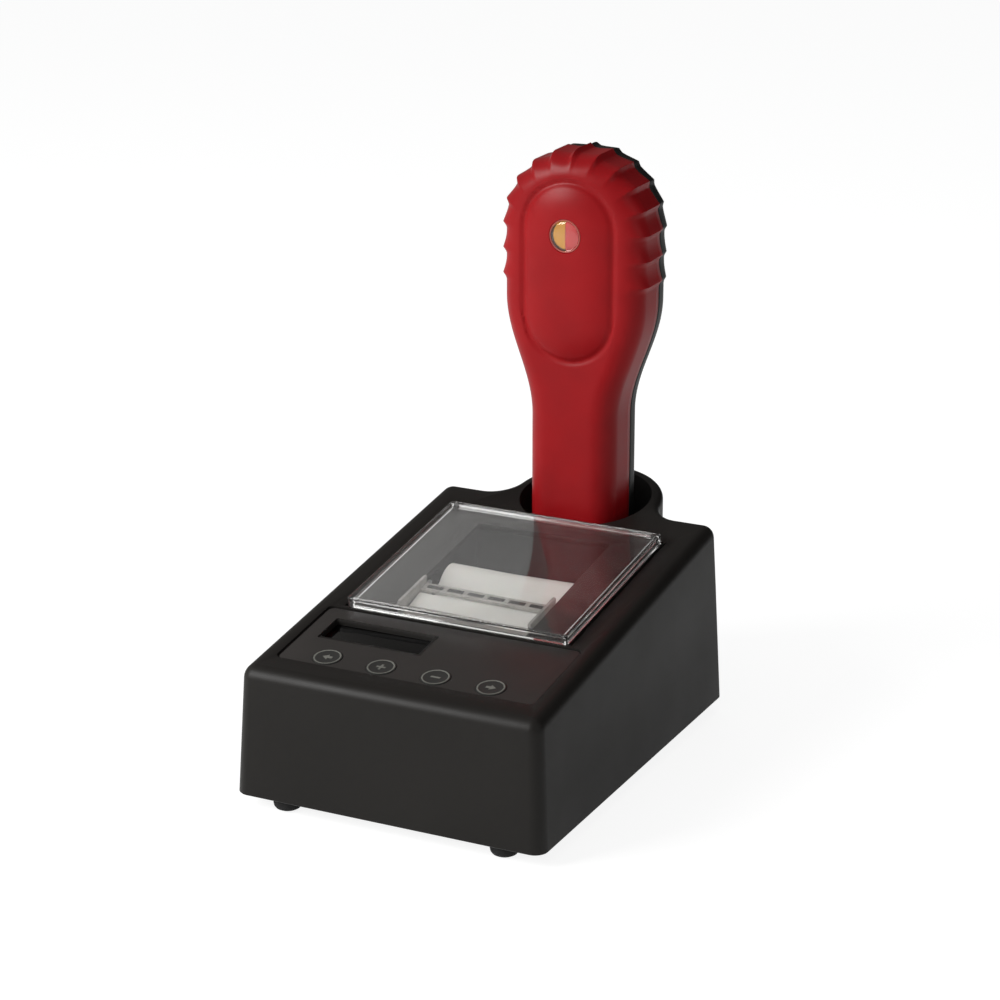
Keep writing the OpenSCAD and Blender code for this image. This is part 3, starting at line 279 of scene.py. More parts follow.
# screen-printed ink: thin, pale and matt
screenInk = surface("paleScreenInk", "#74746d", 0.5, grain=0.4, depth=0.004)
# dark ABS of the keys, from a polished mould: a soft sheen that catches their dished tops
keyAbs = surface("mouldedKeyAbs", "#2e2e2c", 0.4, grain=0.3, depth=0.006)
# moulded nitrile rubber: dull black that scuffs grey
footRubber = surface("mouldedNitrileRubber", "#141414", 0.8, grain=0.5, depth=0.03, patches=0.15, patchSize=6)
# silicone rubber, ground round: dull and dark grey
platenRubber = surface("groundSiliconeRubber", "#3c3b3a", 0.7, grain=0.25, depth=0.012)
# zinc-plated steel: bright metal with a blotchy bloom
zincSteel = surface("zincPlatedSteel", "#b4b6b6", 0.34, grain=0.4, depth=0.004, patches=0.12, patchSize=4,
                    metal=1.0)
# ground steel: bright, with fine lines round it
groundSteel = surface("groundSteel", "#c2c2bf", 0.22, depth=0.003, metal=1.0, stretch=(4, 1, 1))
# gold-plated brass: warm and bright
goldPlate = surface("goldPlatedBrass", "#d2a955", 0.22, depth=0.002, metal=1.0)
# machined brass: warm, with the cutter's fine lines
machinedBrass = surface("machinedBrass", "#c29a48", 0.3, grain=0.25, depth=0.004, metal=1.0,
                        stretch=(5, 1, 1))
# anodised aluminium: even satin metal
anodisedAluminium = surface("anodisedAluminium", "#bcbab4", 0.38, grain=0.25, depth=0.004, metal=1.0)
# enamelled copper wire, wound: orange-brown with the ridges of its turns
enamelledCopper = surface("enamelledCopperWire", "#b0602c", 0.3, grain=0.4, depth=0.03, metal=1.0,
                          stretch=(1, 6, 1))
# glass-fibre laminate under green resist: glossy, with cloudy patches of the cloth below
resistLaminate = surface("greenResistLaminate", "#1c5a34", 0.32, grain=0.5, depth=0.008, patches=0.1,
                         patchSize=3)
# moulded epoxy of electronic parts: dark and matt
epoxyBlack = surface("mouldedBlackEpoxy", "#202020", 0.55, depth=0.01)
# moulded acetal: waxy white, light goes a little way in
acetal = surface("mouldedWhiteAcetal", "#e3e0d7", 0.38, grain=0.5, depth=0.004, soften=0.15)
# calendered thermal paper: bright white, faintly fibrous
thermalPaper = surface("calenderedThermalPaper", "#f3f1ec", 0.62, grain=0.4, depth=0.01, patches=0.02,
                       patchSize=12, soften=0.05)
# wound cardboard: grey-brown fibres along the wrap
cardboard = surface("woundCardboard", "#9c8058", 0.85, grain=0.5, depth=0.03, patches=0.12, patchSize=3,
                    stretch=(1, 3, 3))
# grey polystyrene, moulded: pale and satin
paleStyrene = surface("mouldedGreyStyrene", "#8f8c87", 0.4, grain=0.5, depth=0.006, patches=0.05)
# PVC sleeve shrunk on the cells: glossy blue-grey, slightly rippled
cellSleeve = surface("shrunkPvcSleeve", "#4f7288", 0.25, grain=0.8, depth=0.006)
# drawn and plated steel can: bright grey with faint drawing lines
motorCan = surface("drawnPlatedCan", "#8e9194", 0.3, depth=0.004, metal=1.0, stretch=(1, 4, 4))
# metallised plastic reflector: gold-coloured and nearly a mirror
goldReflector = surface("metallisedReflector", "#c69a44", 0.16, grain=0.6, depth=0.003, metal=1.0)
# tinted epoxy of a lamp, cast: glossy red with a little depth
redEpoxy = surface("tintedRedEpoxy", "#d8333c", 0.15, grain=1.0, depth=0.002, soften=0.3)
# translucent polystyrene, moulded: milky, with the red light that comes through from the shell round it
# painted in as a pink tint
ringStyreneRedGlow = surface("mouldedStyrenePaintedRedGlow", "#c4685e", 0.3, grain=0.5, depth=0.004, soften=0.1)
# acrylic from a polished mould: clear, with a thin film of dust that greys it
lidAcrylic = clearPlastic("polishedDustyAcrylic", "#fafaf9", 0.03, haze=(0.022, "#c8c6c4"))
# dark tinted acrylic, polished: nearly black over a display that is off
windowAcrylic = clearPlastic("polishedTintedAcrylic", "#1c1d1d", 0.06)
# clear acrylic lens, polished: bright small highlights, what lies below is seen through it
lensAcrylic = clearPlastic("polishedClearAcrylic", "#fbf1ec", 0.03)
# clear polystyrene, moulded: milky with scratches and paper dust
guideStyrene = clearPlastic("mouldedClearStyrene", "#e6e2dc", 0.18, ior=1.57, haze=(0.5, "#e2dfda"))
# polished display glass, unlit: near black and smooth
lcdGlass = surface("polishedDisplayGlass", "#0e100f", 0.12, grain=1.5, depth=0.001, patches=0.08)
print("materials made")


# meshes: all sizes are in mm until newObject makes metres of them

def newObject(name, verts, faces):
    mesh = bpy.data.meshes.new(name)
    mesh.from_pydata([Vector(p) * mm for p in verts], [], faces)
    work = bmesh.new()
    work.from_mesh(mesh)
    bmesh.ops.remove_doubles(work, verts=work.verts, dist=1e-7)
    bmesh.ops.recalc_face_normals(work, faces=work.faces)
    work.to_mesh(mesh)
    work.free()
    thing = bpy.data.objects.new(name, mesh)
    bpy.context.scene.collection.objects.link(thing)
    return thing


def applied(thing):  # the modifiers' result becomes the mesh
    depsgraph = bpy.context.evaluated_depsgraph_get()
    mesh = bpy.data.meshes.new_from_object(thing.evaluated_get(depsgraph))
    old = thing.data
    thing.modifiers.clear()
    thing.data = mesh
    bpy.data.meshes.remove(old)
    return thing


def cut(thing, cutters, operation="DIFFERENCE"):
    for cutter in cutters:
        modifier = thing.modifiers.new("cut", "BOOLEAN")
        modifier.operation, modifier.solver, modifier.object = operation, "EXACT", cutter
        applied(thing)
        bpy.data.objects.remove(cutter)
    return thing


def bevelled(thing, width, sharpest=40):  # edges that turn by more than this angle get a small round
    modifier = thing.modifiers.new("bevel", "BEVEL")
    modifier.width, modifier.segments = width * mm, 2
    modifier.limit_method, modifier.angle_limit = "ANGLE", math.radians(sharpest)
    modifier.miter_outer = "MITER_ARC"
    return applied(thing)


def finished(thing, body, material, nodes=(), smooth=35):
    thing.data.materials.clear()
    thing.data.materials.append(material)
    thing.data.shade_smooth()
    thing.data.set_sharp_from_angle(angle=math.radians(smooth))
    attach(thing, body)
    if nodes:
        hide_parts(*nodes)
    return thing


def circle(steps):  # the angles of a whole turn
    return [2 * math.pi * k / steps for k in range(steps)]


def arc(start, end, steps):  # the angles from start to end, given in degrees, both ends counted
    return [math.radians(start + (end - start) * k / steps) for k in range(steps + 1)]


def smoothStep(low, high, value):
    t = min(1.0, max(0.0, (value - low) / (high - low)))
    return t * t * (3 - 2 * t)


def ringFaces(count, rings, first=0, wrap=False):
    faces = []
    for i in range(rings if wrap else rings - 1):
        a, b = first + i * count, first + ((i + 1) % rings) * count
        faces += [(a + j, a + (j + 1) % count, b + (j + 1) % count, b + j) for j in range(count)]
    return faces


def allPoints(rings):
    return [point for ring in rings for point in ring]


def joined(parts):  # several solids as the points and faces of one
    verts, faces = [], []
    for points, sides in parts:
        faces += [tuple(k + len(verts) for k in side) for side in sides]
        verts += points
    return verts, faces


def solidLoft(rings):  # a closed solid through rings of equal length
    count = len(rings[0])
    last = (len(rings) - 1) * count
    faces = ringFaces(count, len(rings))
    faces += [tuple(range(count)), tuple(range(last, last + count))]
    return allPoints(rings), faces


def shellLoft(outer, inner, capped=True):
    # outer and inner skins, joined at their first rings and closed at their last: the outer only if capped
    count = len(outer[0])
    start = len(outer) * count
    faces = ringFaces(count, len(outer)) + ringFaces(count, len(inner), start)
    faces += [(j, (j + 1) % count, start + (j + 1) % count, start + j) for j in range(count)]
    if capped:
        faces.append(tuple(range(start - count, start)))
    faces.append(tuple(range(start + (len(inner) - 1) * count, start + len(inner) * count)))
    return allPoints(outer + inner), faces


def slopeRing(width, v0, v1, corner, w, inset=0.0, x=0.0):  # a rectangle with round corners on the slope
    points = []
    radius = max(corner - inset, 0.05)
    half = width / 2 - inset
    for sx, sv, start in ((1, 1, 0), (-1, 1, 90), (-1, -1, 180), (1, -1, 270)):
        cx, cv = x + sx * (half - radius), (v1 - inset - radius if sv > 0 else v0 + inset + radius)
        points += [onSlope(cx + radius * math.cos(a), cv + radius * math.sin(a), w)
                   for a in arc(start, start + 90, 6)]
    return points


def slopeSolid(width, v0, v1, low, high, corner, x=0.0):
    return solidLoft([slopeRing(width, v0, v1, corner, w, 0.0, x) for w in (low, high)])


def slopeBlock(name, block, x=0.0):
    # block is its width, front and back edge up the slope, bottom, top and corner radius
    return newObject(name, *slopeSolid(*block, x))


def slopePlate(width, v0, v1, low, high, corner, edge, x=0.0, steps=3):
    # the rings of a plate with round top edges
    rings = [slopeRing(width, v0, v1, corner, low, 0.0, x)]
    for a in arc(0, 90, steps):
        rise, inset = high - edge + edge * math.sin(a), edge * (1 - math.cos(a))
        rings.append(slopeRing(width, v0, v1, corner, rise, inset, x))
    return rings


def turnedRings(profile, steps, place):  # from (radius, height) pairs; place maps x, y, z to the frame
    return [[place(radius * math.cos(a), radius * math.sin(a), height) for a in circle(steps)]
            for radius, height in profile]


def turned(profile, steps, place):  # a closed solid
    return solidLoft(turnedRings(profile, steps, place))


def hoop(profile, steps, place):  # a ring with the profile as its section
    rings = turnedRings(profile, steps, place)
    return allPoints(rings), ringFaces(steps, len(rings), 0, True)


# upper housing, with the places that it shares with the panel and the lid

keys = {"xs": [-0.7 + (i - 1.5) * 24.7 for i in range(4)], "v": 23.2, "radius": 6.28, "hole": 6.4,
        "filmHole": 6.42}
# the display's recess, each side at its floor and at its rim: steep at the back and left, sloped otherwise
recess = {"left": (-50.0, -50.3), "right": (-6.5, -2.5), "front": (42.5, 37.2), "back": (53.5, 54.2),
          "corner": 0.8, "floor": -3.4, "over": 0.2}
# the lid's hinge: its line up the slope and out of it, and the ears on the housing that hold its pins
hinge = {"v": 160.0, "w": 1.25, "pinRadius": 0.75, "earX": 47.4, "earRadius": 1.2, "earFoot": -1.4,
         "earHalf": 1.0}
# the cuts in the top: width, front and back edge up the slope, bottom, top, corner radius
housing = {"panelSink": (117, 15.9, 63.1, -1, 3, 3), "bayHole": (62.8, 66.8, 150.4, -6, 2, 1.0),
           "hingeGroove": (102.5, 158.1, 162.1, -1, 2, 0.5), "sideGroove": (1.6, 64.5, 161.5, -1.5, 2, 0.3),
           "grooveX": 51.7, "footEdge": 0.4, "socketPlate": 2.5, "socketMouth": 200, "socketSkirt": 3,
           "jackX": -44, "jackZ": 21.35, "jackRadius": 4.4, "plugX": 44, "plugHalf": 6.4,
           "plugZ": (17.2, 26.5), "portDepths": (-9, 2), "edgeRound": 0.3}


def keyPlace(x):  # a key's own axes: across, up the slope, square out of it
    return lambda a, b, c: onSlope(x + a, keys["v"] + b, c)


def keyHole(x, radius, low, high):
    return newObject("keyHole", *turned([(radius, low), (radius, high)], 48, keyPlace(x)))


def recessRing(share, w, grow=0.0):  # share 0 is the recess at its floor, 1 at its rim
    sides = [recess[side] for side in ("left", "right", "front", "back")]
    left, right, front, back = (low + (high - low) * share for low, high in sides)
    return slopeRing(right - left + 2 * grow, front - grow, back + grow, recess["corner"], w, 0.0,
                     (left + right) / 2)


def planHalf(height, collar=True):
    # right half of the plan at a height over the bottom edge: (x, depth, normal x, normal depth, edge radius)
    front = math.tan(math.radians(dock["sideDraft"])) * height
    side = dock["width"] / 2 - front
    back = dock["depth"] - math.tan(math.radians(dock["backDraft"])) * height
    share = min(1.0, height / dock["frontHeight"])
    r = dock["cornerRadius"] - share * (dock["cornerRadius"] - dock["topCornerRadius"])
    e, rim = dock["edgeRadius"], dock["rimRadius"]
    points = [(x, front, 0, -1, e) for x in (0, 20, 40, 55)]
    points += [(side - r + r * math.sin(a), front + r - r * math.cos(a), math.sin(a), -math.cos(a), e)
               for a in arc(0, 90, 12)]
    points += [(side, front + r + (back - front - 2 * r) * k / 12, 1, 0, e) for k in range(1, 12)]
    points += [(side - r + r * math.cos(a), back - r + r * math.sin(a), math.cos(a), math.sin(a), e)
               for a in arc(0, 90, 12)]
    if not collar:
        return points + [(x, back, 0, 1, e) for x in (55, 40, 20, 0)]
    outer, blend = dock["socketRadius"] + dock["socketWall"], dock["blendRadius"]
    behind = back - dock["socketDepth"]
    filletX, filletDepth = math.sqrt((outer + blend) ** 2 - (behind + blend) ** 2), back + blend
    meet = math.degrees(math.atan2(behind + blend, filletX))  # where fillet and collar meet
    points.append((filletX + (side - r - filletX) * 0.5, back, 0, 1, e))
    for k, a in enumerate(arc(-90, meet - 180, 16)):
        points.append((filletX + blend * math.cos(a), filletDepth + blend * math.sin(a),
                       -math.cos(a), -math.sin(a), e + (rim - e) * smoothStep(0, 16, k)))
    points += [(outer * math.cos(a), dock["socketDepth"] + outer * math.sin(a), math.cos(a), math.sin(a), rim)
               for a in arc(meet, 90, 36)[1:]]
    return points


def planRing(rise, inset, collar=True):
    # rise(top, edge) gives a point's height from the top's height there and its edge radius, inset(edge) how
    # far in it stands; the draft moves the point as its height changes, so a few rounds settle both
    start = planHalf(30, collar)
    found = []
    for j in range(len(start)):
        height = dock["frontHeight"] + start[j][1] * slopeTan
        for step in range(4):
            x, depth, nx, nd, edge = planHalf(height, collar)[j] if step else start[j]
            x, depth = x - nx * inset(edge), depth - nd * inset(edge)
            height = rise(dock["frontHeight"] + depth * slopeTan, edge)
        found.append((x, frontY + depth, dock["footHeight"] + height))
    return found + [(-x, y, z) for x, y, z in reversed(found[1:-1])]


def socketPost(name, radius, low, high):  # a round post on the socket's axis
    return newObject(name, *solidLoft([[(radius * math.cos(a), socketY + radius * math.sin(a), z)
                                        for a in circle(128)] for z in (low, high)]))


def portHole(name, section):  # a hole through the back wall, its section as (x, z) pairs
    backY = frontY + dock["depth"]
    return newObject(name, *solidLoft([[(x, backY + depth, z) for x, z in section]
                                       for depth in housing["portDepths"]]))


def buildHousing():
    bottom, wall = housing["footEdge"], dock["wall"]
    rings = [planRing(lambda top, e: 0.0, lambda e: bottom), planRing(lambda top, e: bottom, lambda e: 0.0)]
    for share in (0.35, 0.7):
        rings.append(planRing(lambda top, e: share * (top - e / slopeCos), lambda e: 0.0))
    for a in arc(0, 90, 7):  # the round top edge
        rings.append(planRing(lambda top, e: top - e * (1 - math.sin(a)) / slopeCos,
                              lambda e: e * (1 - math.cos(a))))
    case = newObject("upperHousing", *solidLoft(rings))

    inside = [planRing(lambda top, e: -1.0, lambda e: wall, False),
              planRing(lambda top, e: top - dock["topWall"] / slopeCos, lambda e: wall, False)]
    hollow = newObject("hollow", *solidLoft(inside))
    outer, plate = dock["socketRadius"] + dock["socketWall"], dock["socketFloor"] - housing["socketPlate"]
    cut(hollow, [socketPost("socketWall", outer, plate, housing["socketMouth"])])
    cuts = [hollow, socketPost("underSocket", outer - wall, housing["socketSkirt"], plate),
            socketPost("bore", dock["socketRadius"], dock["socketFloor"], housing["socketMouth"])]
    cuts.append(slopeBlock("panelSink", housing["panelSink"]))
    display = [recessRing(0, recess["floor"]), recessRing(1, recess["over"])]
    cuts.append(newObject("recess", *solidLoft(display)))
    for x in (-housing["grooveX"], housing["grooveX"]):  # narrow grooves beside the lid, for its shadow line
        cuts.append(slopeBlock("sideGroove", housing["sideGroove"], x))
    cuts += [keyHole(x, keys["hole"], -5, 2) for x in keys["xs"]]
    cuts += [slopeBlock(name, housing[name]) for name in ("bayHole", "hingeGroove")]
    r, x, z = housing["jackRadius"], housing["jackX"], housing["jackZ"]
    cuts.append(portHole("jackHole", [(x + r * math.cos(a), z + r * math.sin(a)) for a in circle(40)]))
    left, right = housing["plugX"] - housing["plugHalf"], housing["plugX"] + housing["plugHalf"]
    low, high = housing["plugZ"]
    cuts.append(portHole("plugHole", [(left, low), (right, low), (right, high), (left, high)]))
    cut(case, cuts)
    bevelled(case, housing["edgeRound"])

    r, foot, half = hinge["earRadius"], hinge["earFoot"], hinge["earHalf"]
    ear = [(-r, foot), (r, foot)] + [(r * math.cos(a), hinge["w"] + r * math.sin(a)) for a in arc(0, 180, 12)]
    for x in (-hinge["earX"], hinge["earX"]):  # the two ears that hold the lid's pins
        rings = [[onSlope(x + dx, hinge["v"] + v, w) for v, w in ear] for dx in (-half, half)]
        cut(case, [newObject("ear", *solidLoft(rings))], "UNION")
    finished(case, "dock", absDock, ["upper_housing"], 32)


# one foot's (radius, height) pairs, from its sole to the barb in the base plate, and how far it stands in
feet = {"profile": [(0.4, 0.0), (2.6, 0.0), (4.0, 0.25), (5.1, 0.85), (5.75, 1.75), (6.0, 2.9), (6.0, 6.4),
                    (2.45, 6.4), (2.45, 8.8), (3.2, 8.8), (2.0, 10.0)], "fromSide": 20.5, "fromEnd": 8.7}


def buildFeet():
    parts = []
    across = dock["width"] / 2 - feet["fromSide"]
    for x in (-across, across):
        for depth in (feet["fromEnd"], dock["depth"] - feet["fromEnd"]):
            y = frontY + depth
            parts.append(turned(feet["profile"], 48, lambda a, b, c: (x + a, y + b, c)))
    finished(newObject("rubberFeet", *joined(parts)), "dock", footRubber, ["feet"], 30)


buildHousing()
buildFeet()
print("housing built")


# control panel: film, display window and keys
# the plates are given by width, front and back edge up the slope, bottom, top, corner and edge radius
panel = {"film": (115.6, 16.3, 62.0, -1.0, -0.45, 2.7, 0.12), "filmX": 0.3,
         "window": (48.6, 39.2, 55.6, -4.4, -3.1, 1.0, 0.15), "windowX": -28, "recessGap": 0.15}
rim = keys["radius"]
arrow = [(-2.2, 0), (0.3, 1.9), (0.3, 0.7), (2.2, 0.7), (2.2, -0.7), (0.3, -0.7), (0.3, -1.9)]
# a key's cap from its stem over the flange to the dished top, the ring printed on it, and the four symbols
keys["cap"] = [(0.4, -4.7), (2, -4.7), (2, -4.0), (rim + 1.3, -4.0), (rim + 1.3, -3.25), (rim, -3.2),
               (rim, -0.5), (rim - 0.12, -0.22), (rim - 0.5, -0.1), (rim - 1.2, -0.16), (rim - 2.6, -0.26),
               (0.5, -0.32)]
keys["band"] = [(5.0, -0.35), (5.02, -0.2), (5.2, -0.09), (5.45, -0.05), (5.7, -0.09), (5.9, -0.2),
                (5.92, -0.35)]
keys["symbols"] = [arrow,
                   [(-0.5, 2), (0.5, 2), (0.5, 0.5), (2, 0.5), (2, -0.5), (0.5, -0.5), (0.5, -2), (-0.5, -2),
                    (-0.5, -0.5), (-2, -0.5), (-2, 0.5), (-0.5, 0.5)],
                   [(-2.1, 0.5), (2.1, 0.5), (2.1, -0.5), (-2.1, -0.5)],
                   [(-a, b) for a, b in arrow]]
keys["symbolHeights"] = (-0.35, -0.2)


def buildPanel():
    film = newObject("panelFilm", *solidLoft(slopePlate(*panel["film"], panel["filmX"])))
    gap = panel["recessGap"]
    cuts = [newObject("displayHole", *solidLoft([recessRing(1, -3, gap), recessRing(1, 1, gap)]))]
    cuts += [keyHole(x, keys["filmHole"], -3, 1) for x in keys["xs"]]
    cut(film, cuts)
    finished(film, "dock", polyesterFilm, ["panel_film"])

    window = newObject("displayWindow", *solidLoft(slopePlate(*panel["window"], panel["windowX"])))
    finished(window, "dock", windowAcrylic, ["display_window"])

    for i, x in enumerate(keys["xs"]):
        place, number, body = keyPlace(x), str(i + 1), "key_" + "abcd"[i]
        key = newObject("keyCap" + number, *turned(keys["cap"], 64, place))
        finished(key, body, keyAbs, ["key_" + number])
        band = newObject("keyRing" + number, *hoop(keys["band"], 64, place))
        finished(band, body, screenInk)
        symbol = keys["symbols"][i]
        rings = [[place(a, b, w) for a, b in symbol] for w in keys["symbolHeights"]]
        mark = newObject("keyMark" + number + "_0", *solidLoft(rings))
        finished(mark, body, screenInk)


buildPanel()
print("panel built")


# paper lid: an open box with its rim at low and the outside of its top at high; the slots in it stop faceGap
# short of its inside, and so do the guide's wings beside the guide: faces in one plane don't cut cleanly
faceGap = 0.02
lid = {"width": 101.5, "v0": 63.9, "v1": 161.5, "low": 0.15, "high": 4.4, "top": 1.8, "wall": 2.0,
       "corner": 1.6, "edge": 0.6, "innerCorner": 0.8, "innerEdge": 0.4, "slotWidth": 2.7, "cutWidth": 120}


def buildLid():
    sizes = [lid[size] for size in ("width", "v0", "v1", "low", "high", "corner", "edge")]
    outer = slopePlate(*sizes, steps=4)
    wall, ceiling, edge = lid["wall"], lid["high"] - lid["top"], lid["innerEdge"]
    width, v0, v1 = lid["width"] - 2 * wall, lid["v0"] + wall, lid["v1"] - wall
    inner = [slopeRing(width, v0, v1, lid["innerCorner"], w, inset)
             for w, inset in ((lid["low"], 0.0), (ceiling - edge, 0.0), (ceiling, edge))]
    cover = newObject("paperLid", *shellLoft(outer, inner))
    # clearance behind the hinge line, a slot for each ear and the hole for the pins
    cuts = [slopeBlock("hingeCut", (lid["cutWidth"], hinge["v"] - 0.3, lid["v1"] + 1, -1, 0.25, 0.3))]
    slot = (lid["slotWidth"], hinge["v"] - 3, hinge["v"] + 5, -1, ceiling - faceGap, 0.3)
    cuts += [slopeBlock("earSlot", slot, x) for x in (-hinge["earX"], hinge["earX"])]
    r, half = hinge["pinRadius"], lid["cutWidth"] / 2
    pin = [[onSlope(x, hinge["v"] + r * math.cos(a), hinge["w"] + r * math.sin(a)) for a in circle(24)]
           for x in (-half, half)]
    cuts.append(newObject("pinHole", *solidLoft(pin)))
    cut(cover, cuts)
    finished(cover, "lid", lidAcrylic, ["paper_lid"], 30)


buildLid()
print("lid built")


# reader: two shells with ribs round the head
# heights count from the reader's foot, which stands at "foot" above the desk; a rib's crest falls to the next
# valley over ribFall of its pitch and climbs again from ribClimb on, ribFade in degrees round the edge
reader = {"foot": 33.1, "forward": 3.0, "neckHalf": 20.2, "headHalf": 32.8, "halfDepth": 17.8,
          "neckTop": 94.5, "headLow": 147.5, "headCentre": 179.3, "endRadius": 11.0, "shell": 2.2,
          "frontRadius": 10.0, "backRadius": 9.5, "seam": 5.5, "seamGap": 0.3, "seamEdge": 0.45,
          "ribHeight": 1.8, "backRibs": 0.65, "ribStep": 18.0, "ribPitch": 11.3, "ribFall": 0.22,
          "ribClimb": 0.35, "ribTop": 0.97, "ribRunOut": 3.2, "ribFade": (20, 84),
          "padHalfWidth": 20.4, "padHalfLength": 39.0, "padCentre": 161.0, "padHeight": 3.5,
          "moatDepth": 0.7, "moatWidth": 1.2, "lensHeight": 178.0, "lensHole": 7.511,
          "wellDepths": (0.5, 2.6), "wellInset": 0.25, "gridPitch": 0.9}


def neckWidth(u):
    share = min(1.0, max(0.0, (u - reader["neckTop"]) / (reader["headLow"] - reader["neckTop"])))
    growth = reader["headHalf"] - reader["neckHalf"]
    return reader["neckHalf"] + growth * (1 - math.cos(math.pi * share)) / 2


def readerOutline():  # right half from the foot to the crown: (x, height, normal x, normal height)
    r, neck, head = reader["endRadius"], reader["neckHalf"], reader["headHalf"]
    points = [(x, 0.0, 0.0, -1.0) for x in (0.0, 5.0)]
    points += [(neck - r + r * math.cos(a), r + r * math.sin(a), math.cos(a), math.sin(a))
               for a in arc(-90, 0, 8)]
    points += [(neck, r + (reader["neckTop"] - r) * k / 30, 1.0, 0.0) for k in range(1, 30)]
    span = reader["headLow"] - reader["neckTop"]
    for k in range(41):
        u = reader["neckTop"] + span * k / 40
        lean = (head - neck) * math.sin(math.pi * k / 40) * math.pi / (2 * span)
        size = math.hypot(1, lean)
        points.append((neckWidth(u), u, 1 / size, -lean / size))
    points += [(head, reader["headCentre"] - reader["ribPitch"] * k / 18, 1.0, 0.0) for k in range(50, 0, -1)]
    points += [(head * math.cos(a), reader["headCentre"] + head * math.sin(a), math.cos(a), math.sin(a))
               for a in arc(0, 90, 100)]
    return points


def ribLifts(points):  # how far the ribs lift each outline point, from 0 in a valley to near 1 on a crest
    fall, climb = reader["ribFall"], reader["ribClimb"]
    step = math.radians(reader["ribStep"]) * reader["headHalf"]
    crests = [-2 * reader["ribPitch"], -reader["ribPitch"]] + [step * k for k in range(6)]
    lifts = []
    for x, u, nx, nu in points:
        along = u - reader["headCentre"] if nu < 1e-6 else math.atan2(nu, nx) * reader["headHalf"]
        lift = max(0.0, 1 - max(0.0, crests[0] - along) / reader["ribRunOut"]) ** 2
        for a, b in zip(crests, crests[1:]):
            if a < along < b:
                t = (b - along) / (b - a)
                lift = (1 - t / fall) ** 1.5 if t < fall else max(0.0, (t - climb) / (1 - climb)) ** 1.6
        lifts.append(min(lift, reader["ribTop"]))
    return lifts


def readerSection():  # the whole outline with the lift of each of its points
    half = readerOutline()
    lifts = ribLifts(half)
    mirrored = [(-x, u, -nx, nu) for x, u, nx, nu in reversed(half[1:-1])]
    return half + mirrored, lifts + list(reversed(lifts[1:-1]))


def readerPoint(x, y, u):
    return (x, socketY - reader["forward"] + y, reader["foot"] + u)


def shellRings(direction, radius, points, lifts, ribs):  # direction -1 is the front shell, 1 the rear one
    seam = reader["seam"] + direction * reader["seamGap"]
    centre = direction * (reader["halfDepth"] - radius)
    edge, wall = reader["seamEdge"], reader["shell"]

    def ring(inset, y, share):
        moves = [lift * share * ribs * reader["ribHeight"] - inset for lift in lifts]
        return [readerPoint(p[0] + p[2] * move, y, p[1] + p[3] * move) for p, move in zip(points, moves)]

    outer = [ring(edge, seam, 1.0), ring(0.0, seam + direction * edge, 1.0)]
    if abs(centre - seam) > 1:
        outer += [ring(0.0, seam + (centre - seam) * k / 4, 1.0) for k in range(1, 4)]
    for a in arc(0, 90, 18):
        share = 1 - smoothStep(*reader["ribFade"], math.degrees(a))
        outer.append(ring(radius * (1 - math.cos(a)), centre + direction * radius * math.sin(a), share))
    inner = [ring(wall, seam, 0.0), ring(wall, centre, 0.0)]
    for a in arc(18, 90, 4):
        inner.append(ring(radius - (radius - wall) * math.cos(a),
                          centre + direction * (radius - wall) * math.sin(a), 0.0))
    return outer, inner


def padRise(x, u):  # how far the raised oval stands out, with the shallow moat round it
    straight = reader["padHalfLength"] - reader["padHalfWidth"]
    inside = reader["padHalfWidth"] - math.hypot(x, max(abs(u - reader["padCentre"]) - straight, 0.0))
    rise = reader["padHeight"] * (1 - (1 - max(0.0, inside) / reader["padHalfWidth"]) ** 3)
    moat = math.exp(-((inside + reader["moatDepth"]) / reader["moatWidth"]) ** 2)
    return rise - reader["moatDepth"] * moat


def faceGrid(hole):  # points over the front face, clear of its round edge and of the lens hole
    pitch, radius = reader["gridPitch"], reader["frontRadius"]
    grid = []
    for i in range(-26, 27):
        for j in range(8, 225):
            x, u = i * pitch, j * pitch + (pitch / 2 if i % 2 else 0)
            if u < reader["headCentre"]:
                wide, off = neckWidth(u), abs(x)
            else:
                wide, off = reader["headHalf"], math.hypot(x, u - reader["headCentre"])
            nearLens = math.hypot(x, u - reader["lensHeight"]) < hole + 0.5
            if u >= radius + 0.8 and off <= wide - radius - 0.6 and not nearLens:
                grid.append(Vector((x, u)))
    return grid


